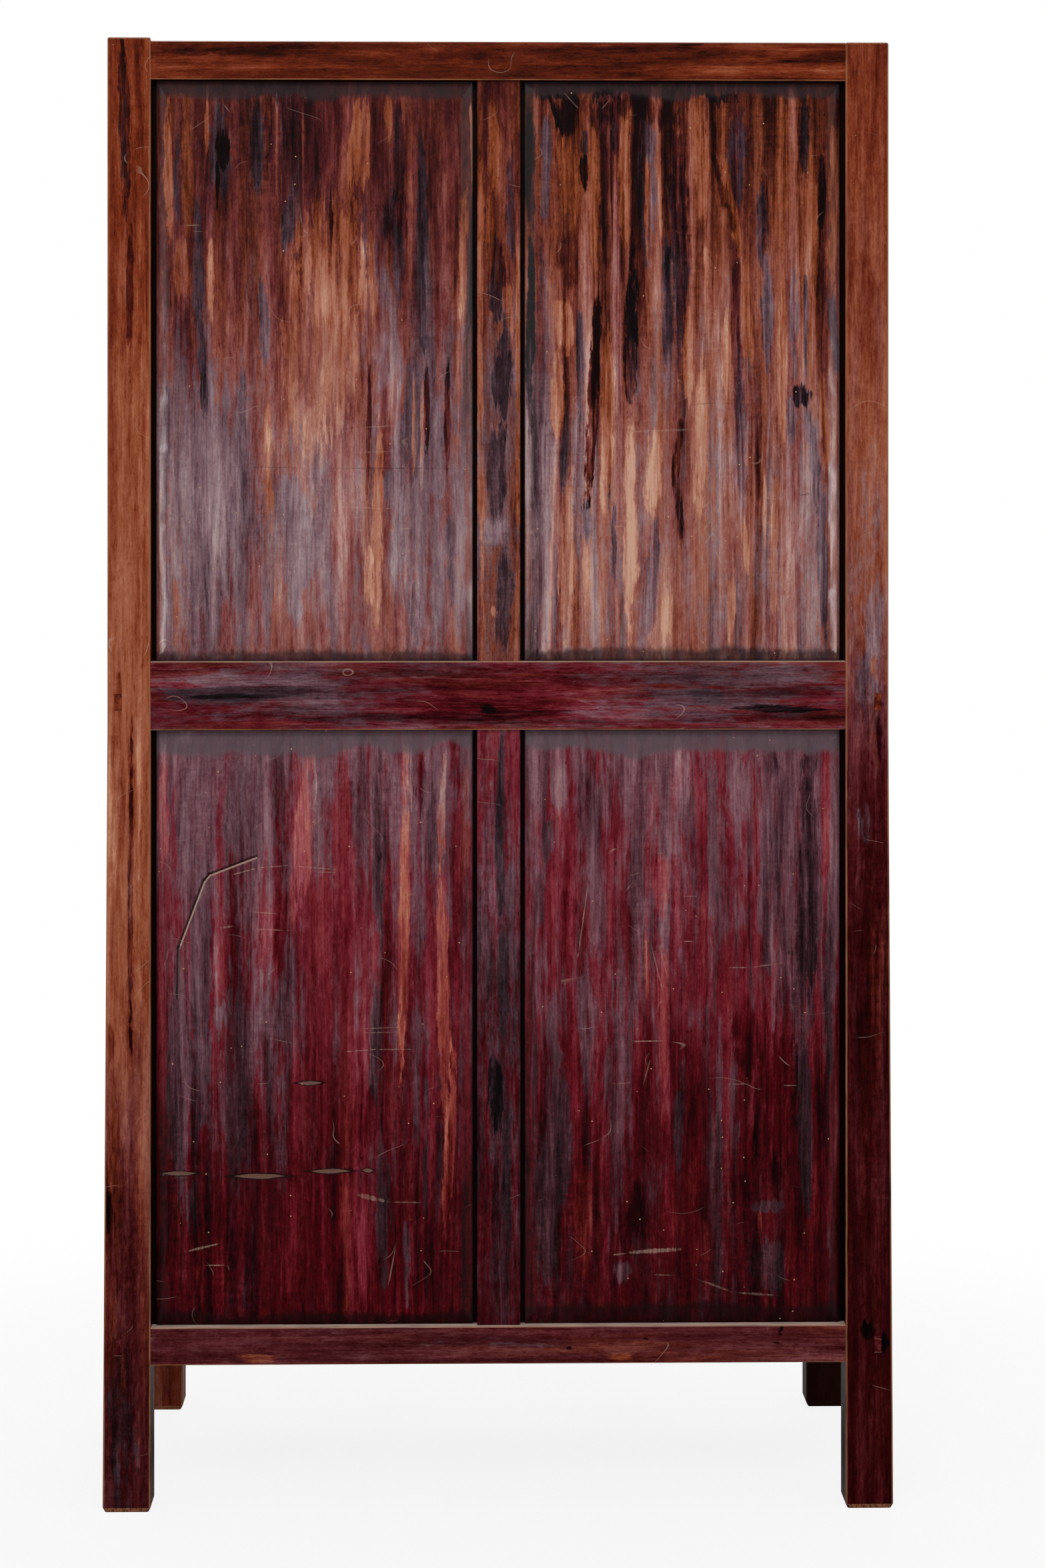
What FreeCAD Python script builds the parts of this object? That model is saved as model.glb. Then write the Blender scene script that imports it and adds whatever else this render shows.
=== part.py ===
import FreeCAD, Part
import math
import os

# Two-door wedding cabinet of framed panels, in millimetres. The floor is z = 0, the
# front faces -Y, and the origin lies on the floor under the middle of the frame.
# Left and right are those of a person who stands in front of the doors.

# Whole frame
frame_width = 982.0
frame_depth = 520.0
rail_top = 1846.0
post_side = 54.0
post_proud = 4.0
post_arris = 2.0
foot_flare = 6.0
foot_arris = 6.0

# Rails, by height
bottom_rail_base = 184.0
bottom_rail_height = 47.0
mid_rail_base = 981.0
mid_rail_height = 86.0
top_rail_height = 48.0
waist_rail_height = 42.0
drawer_bay_height = 130.0
rail_arris = 1.2

# Layers of a framed wall, measured inwards from the posts' outer faces
rail_setback = 2.0
rail_thickness = 38.0
mullion_width = 54.0
mullion_setback = 9.0
mullion_thickness = 25.0
field_setback = 12.0
panel_thickness = 16.0

# Raised panels and the grooves that hold them
bevel_width = 16.0
bevel_drop = 4.5
channel_width = 6.0
panel_end_gap = 0.5
tongue_thickness = 6.0
tongue_length = 8.0
tongue_end_gap = 1.0
groove_play = 0.3

# Tenons and mortises
tenon_play = 0.2
tenon_end_gap = 0.5
tenon_shoulder = 12.0
rail_tenon_setback = 8.0
rail_tenon_thickness = 12.0
tenon_wall = 4.0
side_tenon_setback = 9.0
side_tenon_thickness = 9.0
side_tenon_height = 21.0
side_tenon_recess = 0.8
mid_tenon_drop = 8.0
blind_tenon_length = 40.0
stub_tenon_length = 12.0
stub_tenon_setback = 3.0
stub_tenon_thickness = 9.0
stub_tenon_shoulder = 8.0

# Top, base, floor and shelf boards
top_panel_drop = 5.0
top_panel_thickness = 14.0
base_panel_thickness = 15.0
deck_tongue_drop = 12.0
board_play = 0.3
floor_panel_thickness = 15.0
shelf_rise = 65.0
shelf_thickness = 16.0
shelf_front_setback = 48.0
top_brace_width = 44.0
top_brace_height = 27.0
bearer_width = 20.0
bearer_height = 20.0
bearer_setback = 30.0

# Aprons between the feet
apron_setback = 10.0
apron_thickness = 14.0
apron_band = 44.0
apron_front_drop = 100.0
apron_side_drop = 72.0
apron_ear_width = 24.0
apron_housing = 6.0
apron_cusp_width = 46.0
apron_cusp_drop = 14.0
cusp_bow_share = 0.3

# Doors
door_setback = 3.0
door_thickness = 28.0
door_side_gap = 2.5
door_end_gap = 2.0
door_centre_gap = 2.0
door_stile_width = 58.0
door_rail_width = 62.0
door_tenon_length = 30.0
door_tenon_thickness = 9.0
door_tenon_shoulder = 12.0
door_panel_inset = 0.5
door_panel_thickness = 12.0
door_channel = 4.0
batten_width = 40.0
batten_thickness = 12.0
batten_stub = 10.0
batten_shares = (0.22, 0.78)
pivot_pin_radius = 9.0
pivot_pin_length = 18.0
pivot_play = 0.08
pivot_seat_gap = 0.3
stop_lip_gap = 0.5
top_lip_height = 12.0
waist_lip_height = 8.0

# Round brass plates on the doors
plate_radius = 115.0
plate_height = 1100.0
plate_thickness = 2.0
plate_centre_gap = 1.5
nail_head_radius = 4.0
nail_head_rise = 2.0
nail_shank_radius = 1.4
nail_length = 10.0
nail_play = 0.1
nail_circle_share = 0.9
nail_turn_shares = (0.08, 0.29, 0.5, 0.71, 0.92)

# Lugs on the plates and the pin that slides through them
lug_radius = 7.0
lug_stand = 9.0
lug_thickness = 6.0
inner_lug_place = 12.0
outer_lug_place = 58.0
lock_pin_radius = 3.0
lock_pin_play = 0.08
lock_pin_end = 1.0
knob_radius = 5.5
knob_width = 7.0
knob_gap = 0.5

# Vase-shaped door pulls on their ears
pull_place = 62.0
pull_drop = 34.0
pull_length = 72.0
pull_radius = 8.0
pull_neck_radius = 2.6
pull_stand = 9.0
pull_knuckle_radius = 5.0
pull_knuckle_width = 9.0
ear_thickness = 3.0
ear_radius = 5.0
ear_gap = 0.4
pull_rod_radius = 2.0
pull_rod_play = 0.08
vase_shares = ((0.16, 0.0), (0.36, 0.35), (0.62, 1.0), (0.84, 0.55), (0.93, 0.3), (1.0, 0.62))

# Drawers
drawer_side_gap = 2.0
drawer_end_gap = 1.5
drawer_running_gap = 0.3
drawer_back_gap = 37.0
drawer_front_thickness = 22.0
drawer_side_thickness = 12.0
drawer_side_height = 112.0
drawer_bottom_thickness = 8.0
drawer_bottom_rise = 7.0
drawer_bottom_tongue = 5.0
drawer_bottom_play = 0.2
drawer_side_housing = 8.0
drawer_divider_width = 30.0
drawer_guide_height = 25.0
drawer_guide_gap = 1.0

# Drawer plates and the bails that hang in their studs
bail_rise_share = 0.58
drawer_plate_half_length = 64.0
drawer_plate_half_height = 17.0
drawer_plate_thickness = 1.5
stud_spread = 38.0
stud_radius = 5.0
stud_stand = 6.5
stud_tip = 5.0
stud_shank_radius = 3.0
stud_shank_play = 0.1
bail_rod_radius = 2.5
bail_play = 0.08
bail_drop = 34.0
bail_bend_radius = 6.0
bail_corner_radius = 12.0
bail_end_reach = 1.0

# How far a cutting shape runs past the face that it cuts
overrun = 5.0

# Places worked out from the sizes above
half_width = frame_width / 2
half_depth = frame_depth / 2
opening_half = half_width - post_side
side_half = half_depth - post_side
bottom_rail_top = bottom_rail_base + bottom_rail_height
mid_rail_top = mid_rail_base + mid_rail_height
top_rail_base = rail_top - top_rail_height
waist_rail_base = bottom_rail_top + drawer_bay_height
waist_rail_top = waist_rail_base + waist_rail_height
rail_inner = rail_setback + rail_thickness
mullion_inner = mullion_setback + mullion_thickness
panel_inner = field_setback + panel_thickness
tongue_outer = panel_inner - tongue_thickness
groove_depth = tongue_length + tongue_end_gap
rail_tenon_layer = (rail_tenon_setback, rail_tenon_setback + rail_tenon_thickness)
side_tenon_layer = (side_tenon_setback, side_tenon_setback + side_tenon_thickness)
rail_tenon_length = post_side - side_tenon_layer[1] - tenon_wall
stub_outer = mullion_setback + stub_tenon_setback
stub_layer = (stub_outer, stub_outer + stub_tenon_thickness)
deck_half_width = half_width - rail_inner
deck_half_depth = half_depth - rail_inner
top_panel_top = rail_top - top_panel_drop
shelf_front = shelf_front_setback - half_depth
shelf_height = mid_rail_base + shelf_rise
bearer_outer = half_width - bearer_setback

door_front = door_setback - half_depth
door_back = door_front + door_thickness
door_edge_radius = door_thickness / 2
pivot_x = opening_half - door_side_gap - door_edge_radius
pivot_y = door_front + door_edge_radius
door_base = waist_rail_top + door_end_gap
door_top = top_rail_base - door_end_gap
door_inner_edge = door_centre_gap / 2
lock_stile_edge = door_inner_edge + door_stile_width
hinge_stile_edge = opening_half - door_side_gap - door_stile_width
door_panel_base = door_base + door_rail_width
door_panel_top = door_top - door_rail_width
door_panel_front = door_front + door_panel_inset
door_panel_back = door_panel_front + door_panel_thickness
door_tenon_front = door_back - door_tenon_thickness - door_panel_inset
batten_back = door_panel_back + batten_thickness

plate_face = door_front - plate_thickness
lug_axis_y = plate_face - lug_stand
knob_room = outer_lug_place - inner_lug_place - lug_thickness - knob_width
pin_travel = knob_room - 2 * knob_gap
pin_tip = inner_lug_place - lug_thickness / 2 - lock_pin_end
pin_tail = outer_lug_place + lug_thickness / 2 + pin_travel + lock_pin_end
knob_edge = outer_lug_place - lug_thickness / 2 - knob_gap
pull_axis_y = plate_face - pull_stand
pull_axis_z = plate_height - pull_drop

drawer_inner_edge = drawer_divider_width / 2 + drawer_side_gap
drawer_outer_edge = opening_half - drawer_side_gap
drawer_base = bottom_rail_top + drawer_running_gap
drawer_back = half_depth - rail_inner - drawer_back_gap
drawer_front_back = door_front + drawer_front_thickness
drawer_middle = (drawer_inner_edge + drawer_outer_edge) / 2
drawer_bottom_base = drawer_base + drawer_bottom_rise
drawer_bottom_top = drawer_bottom_base + drawer_bottom_thickness
drawer_plate_face = door_front - drawer_plate_thickness
bail_axis_y = drawer_plate_face - stud_stand
bail_axis_z = bottom_rail_top + drawer_bay_height * bail_rise_share

# Each wall's turn about Z from the front wall, and its outer face's distance
wall_turns = {"front": 0, "right": 90, "back": 180, "left": -90}
wall_distances = {"front": half_depth, "right": half_width, "back": half_depth, "left": half_width}
wall_spans = {"front": opening_half, "right": side_half, "back": opening_half, "left": side_half}

# The end of a side wall's pieces that points to the back, along the wall's own length
back_ends = {"right": 1, "left": -1}

sides = {"left": -1, "right": 1}
along_x = FreeCAD.Vector(1, 0, 0)
along_y = FreeCAD.Vector(0, 1, 0)
along_z = FreeCAD.Vector(0, 0, 1)
origin = FreeCAD.Vector(0, 0, 0)


def block(x0, x1, y0, y1, z0, z1):
    """Rectangular block between two opposite corners, given in either order."""
    corner = FreeCAD.Vector(min(x0, x1), min(y0, y1), min(z0, z1))
    return Part.makeBox(abs(x1 - x0), abs(y1 - y0), abs(z1 - z0), corner)


def join(pieces):
    """One solid made of pieces that touch or cross."""
    return pieces[0].multiFuse(pieces[1:]).removeSplitter()


def group(solids):
    """Several separate solids that share one node."""
    return Part.makeCompound(solids)


def prism(points, sweep):
    """Solid swept from a flat outline of corner points."""
    outline = Part.makePolygon(points + points[:1])
    return Part.Face(outline).extrude(sweep)


def stack(sections):
    """Closed solid through flat outlines one above the other, joined by flat faces."""
    faces = [Part.Face(Part.makePolygon(ring + ring[:1])) for ring in (sections[0], sections[-1])]
    for low, high in zip(sections, sections[1:]):
        for here in range(len(low)):
            after = (here + 1) % len(low)
            corners = [low[here], low[after], high[after], high[here], low[here]]
            faces.append(Part.Face(Part.makePolygon(corners)))
    shell = Part.makeShell(faces)
    shell.sewShape()
    solid = Part.makeSolid(shell)
    if solid.Volume < 0:
        solid.reverse()
    return solid


def octagon(x0, x1, y0, y1, z, arris):
    """Corners of a rectangle at height z whose own corners are cut off by the arris."""
    xs = (x0 + arris, x1 - arris, x1, x1, x1 - arris, x0 + arris, x0, x0)
    ys = (y0, y0, y0 + arris, y1 - arris, y1, y1, y1 - arris, y0 + arris)
    return [FreeCAD.Vector(x, y, z) for x, y in zip(xs, ys)]


def to_wall(shape, wall):
    """Carry a piece drawn with its wall's outer face on y = 0 to its place in the frame."""
    placed = shape.copy()
    placed.translate(FreeCAD.Vector(0, -wall_distances[wall], 0))
    placed.rotate(origin, along_z, wall_turns[wall])
    return placed


# Rails: each is drawn along X with the wall's outer face on y = 0

def rail_ends(wall, through):
    """Each end of a wall's rail, as its direction and how far its tenon enters the post."""
    if wall not in back_ends:
        return [(-1, rail_tenon_length), (1, rail_tenon_length)]
    back = back_ends[wall]
    back_length = post_side - side_tenon_recess if through else blind_tenon_length
    return [(back, back_length), (-back, blind_tenon_length)]


def rail_tenon_place(wall, base, height):
    """Layer, base and height of a rail's tenons, by the wall that the rail stands in."""
    if wall not in back_ends:
        return rail_tenon_layer, base + tenon_shoulder, height - 2 * tenon_shoulder
    drop = mid_tenon_drop if base == mid_rail_base else 0
    tenon_base = base + (height - side_tenon_height) / 2 - drop
    return side_tenon_layer, tenon_base, side_tenon_height


def rail_tenons(wall, base, height, through):
    """The two tenons of a rail."""
    layer, tenon_base, tenon_height = rail_tenon_place(wall, base, height)
    span = wall_spans[wall]
    tenon_top = tenon_base + tenon_height
    return [
        block(end * span, end * (span + length), layer[0], layer[1], tenon_base, tenon_top)
        for end, length in rail_ends(wall, through)
    ]


def rail_mortises(wall, base, height, through):
    """The holes in the posts that take a rail's tenons, in the frame."""
    layer, tenon_base, tenon_height = rail_tenon_place(wall, base, height)
    span = wall_spans[wall]
    holes = []
    for end, length in rail_ends(wall, through):
        runs_out = through and end == back_ends.get(wall)
        depth = length + (overrun if runs_out else tenon_end_gap)
        hole = block(
            end * (span - overrun), end * (span + depth),
            layer[0] - tenon_play, layer[1] + tenon_play,
            tenon_base - tenon_play, tenon_base + tenon_height + tenon_play,
        )
        holes.append(to_wall(hole, wall))
    return holes


def rail_bar(span, base, height):
    """A rail's bar between its shoulders, with its two outer long edges eased."""
    outer = rail_setback
    top = base + height
    profile = [
        (outer + rail_arris, base), (rail_inner, base), (rail_inner, top),
        (outer + rail_arris, top), (outer, top - rail_arris), (outer, base + rail_arris),
    ]
    points = [FreeCAD.Vector(-span, y, z) for y, z in profile]
    return prism(points, along_x * (2 * span))


def panel_groove(span, edge_z, direction):
    """Groove for panels along a rail's edge at edge_z, cut up (1) or down (-1)."""
    return block(
        -span - overrun, span + overrun,
        tongue_outer - groove_play, panel_inner + groove_play,
        edge_z - direction * overrun, edge_z + direction * groove_depth,
    )


def deck_groove(span, deck_top):
    """Groove in a rail's inner face for the tongue of a top, base or floor board."""
    tongue_base = deck_top - deck_tongue_drop
    return block(
        -span - overrun, span + overrun,
        rail_inner - groove_depth, rail_inner + overrun,
        tongue_base - groove_play, tongue_base + tongue_thickness + groove_play,
    )


def mullion_mortise(edge_z, direction):
    """Hole in a rail's edge for a mullion's stub tenon, cut up (1) or down (-1)."""
    half = mullion_width / 2 - stub_tenon_shoulder + tenon_play
    return block(
        -half, half, stub_layer[0] - tenon_play, stub_layer[1] + tenon_play,
        edge_z - direction * overrun, edge_z + direction * (stub_tenon_length + tenon_end_gap),
    )


def divider_mortise(edge_z, direction):
    """Hole in a front rail's edge for the drawer divider's stub tenon."""
    half = drawer_divider_width / 2 - stub_tenon_shoulder + tenon_play
    middle = (rail_setback + rail_inner) / 2
    reach = stub_tenon_thickness / 2 + tenon_play
    return block(
        -half, half, middle - reach, middle + reach,
        edge_z - direction * overrun, edge_z + direction * (stub_tenon_length + tenon_end_gap),
    )


def brace_mortise():
    """Hole in the front or back top rail's inner face for the top brace's tenon."""
    half = top_brace_width / 2 - stub_tenon_shoulder + tenon_play
    low, high = top_brace_tenon()
    return block(
        -half, half, rail_inner - stub_tenon_length - tenon_end_gap, rail_inner + overrun,
        low - tenon_play, high + tenon_play,
    )


def pivot_socket(side, edge_z, direction):
    """Round socket for a door's pivot pin, from a rail's edge up (1) or down (-1)."""
    depth = pivot_pin_length + pivot_seat_gap
    low = edge_z if direction > 0 else edge_z - depth
    place = FreeCAD.Vector(side * pivot_x, pivot_y + half_depth, low)
    return Part.makeCylinder(pivot_pin_radius + pivot_play, depth, place, along_z)


def rail(wall, base, height, through, cuts, extras=()):
    """A rail with its tenons, less its grooves and mortises, in its place in the frame."""
    span = wall_spans[wall]
    solid = join([rail_bar(span, base, height)] + rail_tenons(wall, base, height, through) + list(extras))
    return to_wall(solid.cut(cuts), wall)


def top_rail(wall):
    """Top rail of the back or a side, grooved for the panels below and the top board."""
    span = wall_spans[wall]
    cuts = [panel_groove(span, top_rail_base, 1), deck_groove(span, top_panel_top)]
    if wall == "back":
        cuts += [mullion_mortise(top_rail_base, 1), brace_mortise()]
    return rail(wall, top_rail_base, top_rail_height, False, cuts)


def top_rail_front():
    """Front top rail with the lip that the doors shut against and their upper sockets."""
    lip_outer = door_back + half_depth + stop_lip_gap
    lip = block(
        -opening_half, opening_half, lip_outer, rail_inner,
        top_rail_base - top_lip_height, top_rail_base,
    )
    cuts = [deck_groove(opening_half, top_panel_top), brace_mortise()]
    cuts += [pivot_socket(side, top_rail_base, 1) for side in sides.values()]
    return rail("front", top_rail_base, top_rail_height, False, cuts, [lip])


def mid_rail(wall):
    """Middle rail of the back or a side, grooved for the panels above and below."""
    span = wall_spans[wall]
    cuts = [panel_groove(span, mid_rail_base, 1), panel_groove(span, mid_rail_top, -1)]
    if wall == "back":
        cuts += [mullion_mortise(mid_rail_base, 1), mullion_mortise(mid_rail_top, -1)]
    return rail(wall, mid_rail_base, mid_rail_height, wall in back_ends, cuts)


def bottom_rail(wall):
    """Bottom rail of the back or a side, grooved for the panels above and the base board."""
    span = wall_spans[wall]
    cuts = [panel_groove(span, bottom_rail_top, -1), deck_groove(span, bottom_rail_top)]
    if wall == "back":
        cuts.append(mullion_mortise(bottom_rail_top, -1))
    return rail(wall, bottom_rail_base, bottom_rail_height, wall in back_ends, cuts)


def bottom_rail_front():
    """Front bottom rail, below the drawers."""
    cuts = [deck_groove(opening_half, bottom_rail_top), divider_mortise(bottom_rail_top, -1)]
    return rail("front", bottom_rail_base, bottom_rail_height, False, cuts)


def waist_rail():
    """Front rail between the drawers and the doors, with the doors' lower sockets."""
    lip_outer = door_back + half_depth + stop_lip_gap
    lip = block(
        -opening_half, opening_half, lip_outer, rail_inner,
        waist_rail_top, waist_rail_top + waist_lip_height,
    )
    cuts = [deck_groove(opening_half, waist_rail_top), divider_mortise(waist_rail_base, 1)]
    cuts += [pivot_socket(side, waist_rail_top, -1) for side in sides.values()]
    return rail("front", waist_rail_base, waist_rail_height, False, cuts, [lip])


# Posts

def post_blank(side, end, top):
    """Post before its joints are cut: its outer side flares out towards the foot."""
    def ring(z, flare, inset):
        xs = sorted((side * (opening_half + inset), side * (half_width + flare - inset)))
        ys = sorted((end * (side_half + inset), end * (half_depth - inset)))
        return octagon(xs[0], xs[1], ys[0], ys[1], z, post_arris)
    return stack([
        ring(0, foot_flare, foot_arris / 2),
        ring(foot_arris, foot_flare, 0),
        ring(mid_rail_base, 0, 0),
        ring(top - post_arris, 0, 0),
        ring(top, 0, post_arris / 2),
    ])


def post_grooves():
    """Grooves in the posts for the panels of the back and the sides."""
    levels = ((bottom_rail_top, mid_rail_base), (mid_rail_top, top_rail_base))
    cuts = []
    for wall in ("back", "left", "right"):
        span = wall_spans[wall]
        for low, high in levels:
            for end in (-1, 1):
                groove = block(
                    end * (span - overrun), end * (span + groove_depth),
                    tongue_outer - groove_play, panel_inner + groove_play,
                    low - groove_depth, high + groove_depth,
                )
                cuts.append(to_wall(groove, wall))
    return cuts


def post_mortises():
    """Every mortise that the rails' tenons need in the posts."""
    cuts = []
    for wall in wall_turns:
        through = wall in back_ends
        cuts += rail_mortises(wall, top_rail_base, top_rail_height, False)
        cuts += rail_mortises(wall, bottom_rail_base, bottom_rail_height, through)
        if wall == "front":
            cuts += rail_mortises(wall, waist_rail_base, waist_rail_height, False)
        else:
            cuts += rail_mortises(wall, mid_rail_base, mid_rail_height, through)
    return cuts


def post_housings():
    """Shallow slots for the aprons' ends and sockets for the floor bearers' tenons."""
    cuts = []
    for wall, drop in (("front", apron_front_drop), ("left", apron_side_drop), ("right", apron_side_drop)):
        span = wall_spans[wall]
        for end in (-1, 1):
            slot = block(
                end * (span - overrun), end * (span + apron_housing + tenon_end_gap),
                apron_setback - tenon_play, apron_setback + apron_thickness + tenon_play,
                bottom_rail_base - drop - tenon_play, bottom_rail_base + tenon_play,
            )
            cuts.append(to_wall(slot, wall))
    for side in sides.values():
        cuts.append(bearer_tenon_bar(side, tenon_play, tenon_end_gap))
    return cuts


def posts():
    """The four corner posts, by node name."""
    cuts = post_grooves() + post_mortises() + post_housings()
    made = {}
    for place, side in sides.items():
        proud = post_proud if place == "right" else 0
        made["post_back_" + place] = post_blank(side, 1, rail_top + proud).cut(cuts)
        made["post_front_" + place] = post_blank(side, -1, rail_top).cut(cuts)
    return made


# Raised panels and mullions

def raised_panel(u0, u1, low, high, wall):
    """Floating panel between four frame edges: a bevelled field and a tongue all round."""
    board = block(
        u0 - tongue_length, u1 + tongue_length, tongue_outer, panel_inner,
        low - tongue_length, high + tongue_length,
    )
    left = u0 + channel_width
    right = u1 - channel_width
    base = low + panel_end_gap
    top = high - panel_end_gap

    def ring(y, inset):
        xs = (left + inset, right - inset, right - inset, left + inset)
        zs = (base + inset, base + inset, top - inset, top - inset)
        return [FreeCAD.Vector(x, y, z) for x, z in zip(xs, zs)]
    field = stack([
        ring(tongue_outer, 0),
        ring(field_setback + bevel_drop, 0),
        ring(field_setback, bevel_width),
    ])
    return to_wall(join([board, field]), wall)


def panels():
    """The back's four panels and the sides' four, by node name."""
    levels = {"upper": (mid_rail_top, top_rail_base), "lower": (bottom_rail_top, mid_rail_base)}
    half_mullion = mullion_width / 2
    made = {}
    for level, (low, high) in levels.items():
        for place, side in sides.items():
            # The back wall is drawn from behind, so its left and right change over
            u0, u1 = sorted((-side * half_mullion, -side * opening_half))
            made["back_panel_%s_%s" % (level, place)] = raised_panel(u0, u1, low, high, "back")
            made["side_panel_%s_%s" % (level, place)] = raised_panel(
                -side_half, side_half, low, high, place)
    return made


def mullion(low, high):
    """Upright between two back panels, grooved on both edges, with a stub tenon each end."""
    half = mullion_width / 2
    stub_half = half - stub_tenon_shoulder
    bar = block(-half, half, mullion_setback, mullion_inner, low, high)
    stub = block(
        -stub_half, stub_half, stub_layer[0], stub_layer[1],
        low - stub_tenon_length, high + stub_tenon_length,
    )
    grooves = [
        block(
            end * (half - groove_depth), end * (half + overrun),
            tongue_outer - groove_play, panel_inner + groove_play,
            low - overrun, high + overrun,
        )
        for end in (-1, 1)
    ]
    return to_wall(join([bar, stub]).cut(grooves), "back")


# Boards, bearers and guides inside the frame

def notched_board(half_x, front, back, base, top):
    """Board cut away at each corner where a post stands."""
    board = block(-half_x, half_x, front, back, base, top)
    notches = [
        block(
            side * (opening_half - board_play), side * (half_width + overrun),
            end * (side_half - board_play), end * (half_depth + overrun),
            base - overrun, top + overrun,
        )
        for side in (-1, 1) for end in (-1, 1)
    ]
    return board.cut(notches)


def deck(top, thickness):
    """Top or base board, let into the four rails round it by a tongue on each edge."""
    half_x = deck_half_width - board_play
    half_y = deck_half_depth - board_play
    base = top - thickness
    tongue_base = top - deck_tongue_drop
    tongue_top = tongue_base + tongue_thickness
    reach_x = deck_half_width + tongue_length
    reach_y = deck_half_depth + tongue_length
    across = block(
        -reach_x, reach_x, board_play - side_half, side_half - board_play, tongue_base, tongue_top)
    along = block(
        board_play - opening_half, opening_half - board_play, -reach_y, reach_y, tongue_base, tongue_top)
    return join([notched_board(half_x, -half_y, half_y, base, top), across, along])


def top_brace_tenon():
    """Low and high edges of the top brace's tenons."""
    top = top_panel_top - top_panel_thickness
    return top - top_brace_height + stub_tenon_shoulder, top - stub_tenon_shoulder


def top_brace():
    """Cross brace under the middle of the top board, tenoned to the front and back rails."""
    half = top_brace_width / 2
    top = top_panel_top - top_panel_thickness
    reach = deck_half_depth
    low, high = top_brace_tenon()
    bar = block(-half, half, -reach, reach, top - top_brace_height, top)
    stub_half = half - stub_tenon_shoulder
    stub_reach = reach + stub_tenon_length
    return join([bar, block(-stub_half, stub_half, -stub_reach, stub_reach, low, high)])


def floor_panel():
    """Board over the drawers, tongued to the waist rail and resting on two bearers."""
    half_x = half_width - panel_inner - board_play
    front = board_play - deck_half_depth
    back = half_depth - mullion_inner - board_play
    base = waist_rail_top - floor_panel_thickness
    tongue_base = waist_rail_top - deck_tongue_drop
    tongue = block(
        board_play - opening_half, opening_half - board_play,
        -deck_half_depth - tongue_length, front, tongue_base, tongue_base + tongue_thickness,
    )
    return join([notched_board(half_x, front, back, base, waist_rail_top), tongue])


def shelf_panel():
    """Loose shelf that rests on two bearers at the height of the middle rails."""
    back = deck_half_depth - board_play
    base = shelf_height - shelf_thickness
    return notched_board(deck_half_width - board_play, shelf_front, back, base, shelf_height)


def bearer_tenon_bar(side, play, end_play):
    """The floor bearer's tenons as one bar from post to post, larger by the play."""
    top = waist_rail_top - floor_panel_thickness
    inset = (bearer_width - stub_tenon_thickness) / 2
    reach = side_half + stub_tenon_length + end_play
    return block(
        side * (bearer_outer - bearer_width + inset - play), side * (bearer_outer - inset + play),
        -reach, reach,
        top - bearer_height + inset - play, top - inset + play,
    )


def inner_bearers():
    """Two bearers tenoned between the posts for the floor board, two on the side rails."""
    reach = side_half - board_play
    floor_base = waist_rail_top - floor_panel_thickness
    shelf_base = shelf_height - shelf_thickness
    solids = []
    for side in sides.values():
        bar = block(
            side * (bearer_outer - bearer_width), side * bearer_outer,
            -side_half, side_half, floor_base - bearer_height, floor_base,
        )
        solids.append(join([bar, bearer_tenon_bar(side, 0, 0)]))
        solids.append(block(
            side * (deck_half_width - bearer_width), side * deck_half_width,
            -reach, reach, shelf_base - bearer_height, shelf_base,
        ))
    return group(solids)


def drawer_guides():
    """Strip outside each drawer, and the board on edge between the drawers.

    All three stand on the base board, and the middle one also carries the floor board.
    """
    reach = side_half - board_play
    outer = half_width - panel_inner - board_play
    inner = drawer_outer_edge + drawer_guide_gap
    top = bottom_rail_top + drawer_guide_height
    solids = [
        block(side * inner, side * outer, -reach, reach, bottom_rail_top, top)
        for side in sides.values()
    ]
    half = drawer_divider_width / 2 - board_play
    back = half_depth - mullion_inner - board_play
    middle_top = waist_rail_top - floor_panel_thickness
    solids.append(block(-half, half, board_play - deck_half_depth, back, bottom_rail_top, middle_top))
    return group(solids)


def drawer_divider():
    """Upright between the drawer fronts, with a stub tenon in the rail above and below."""
    half = drawer_divider_width / 2
    stub_half = half - stub_tenon_shoulder
    middle = (rail_setback + rail_inner) / 2
    reach = stub_tenon_thickness / 2
    bar = block(-half, half, rail_setback, rail_inner, bottom_rail_top, waist_rail_base)
    stub = block(
        -stub_half, stub_half, middle - reach, middle + reach,
        bottom_rail_top - stub_tenon_length, waist_rail_base + stub_tenon_length,
    )
    return to_wall(join([bar, stub]), "front")


def apron(wall, drop):
    """Shaped board under a rail: an ear at each post, round shoulders, a small cusp."""
    span = wall_spans[wall]
    top = bottom_rail_base
    low = top - drop
    edge = top - apron_band
    reach = span + apron_housing
    ear = span - apron_ear_width
    radius = drop - apron_band
    shoulder = ear - radius
    diagonal = radius * math.sqrt(0.5)
    bow = edge - apron_cusp_drop * cusp_bow_share

    def point(u, z):
        return FreeCAD.Vector(u, apron_setback, z)

    def line(u0, z0, u1, z1):
        return Part.LineSegment(point(u0, z0), point(u1, z1))

    edges = [line(-reach, top, reach, top), line(-reach, top, -reach, low), line(reach, top, reach, low)]
    for end in (-1, 1):
        edges += [
            line(end * reach, low, end * ear, low),
            Part.Arc(
                point(end * ear, low),
                point(end * (shoulder + diagonal), low + diagonal),
                point(end * shoulder, edge),
            ),
            line(end * shoulder, edge, end * apron_cusp_width, edge),
            Part.Arc(
                point(end * apron_cusp_width, edge),
                point(end * apron_cusp_width / 2, bow),
                point(0, edge - apron_cusp_drop),
            ),
        ]
    outline = Part.Wire(Part.__sortEdges__([edge_curve.toShape() for edge_curve in edges]))
    return to_wall(Part.Face(outline).extrude(along_y * apron_thickness), wall)


# Doors

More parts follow.
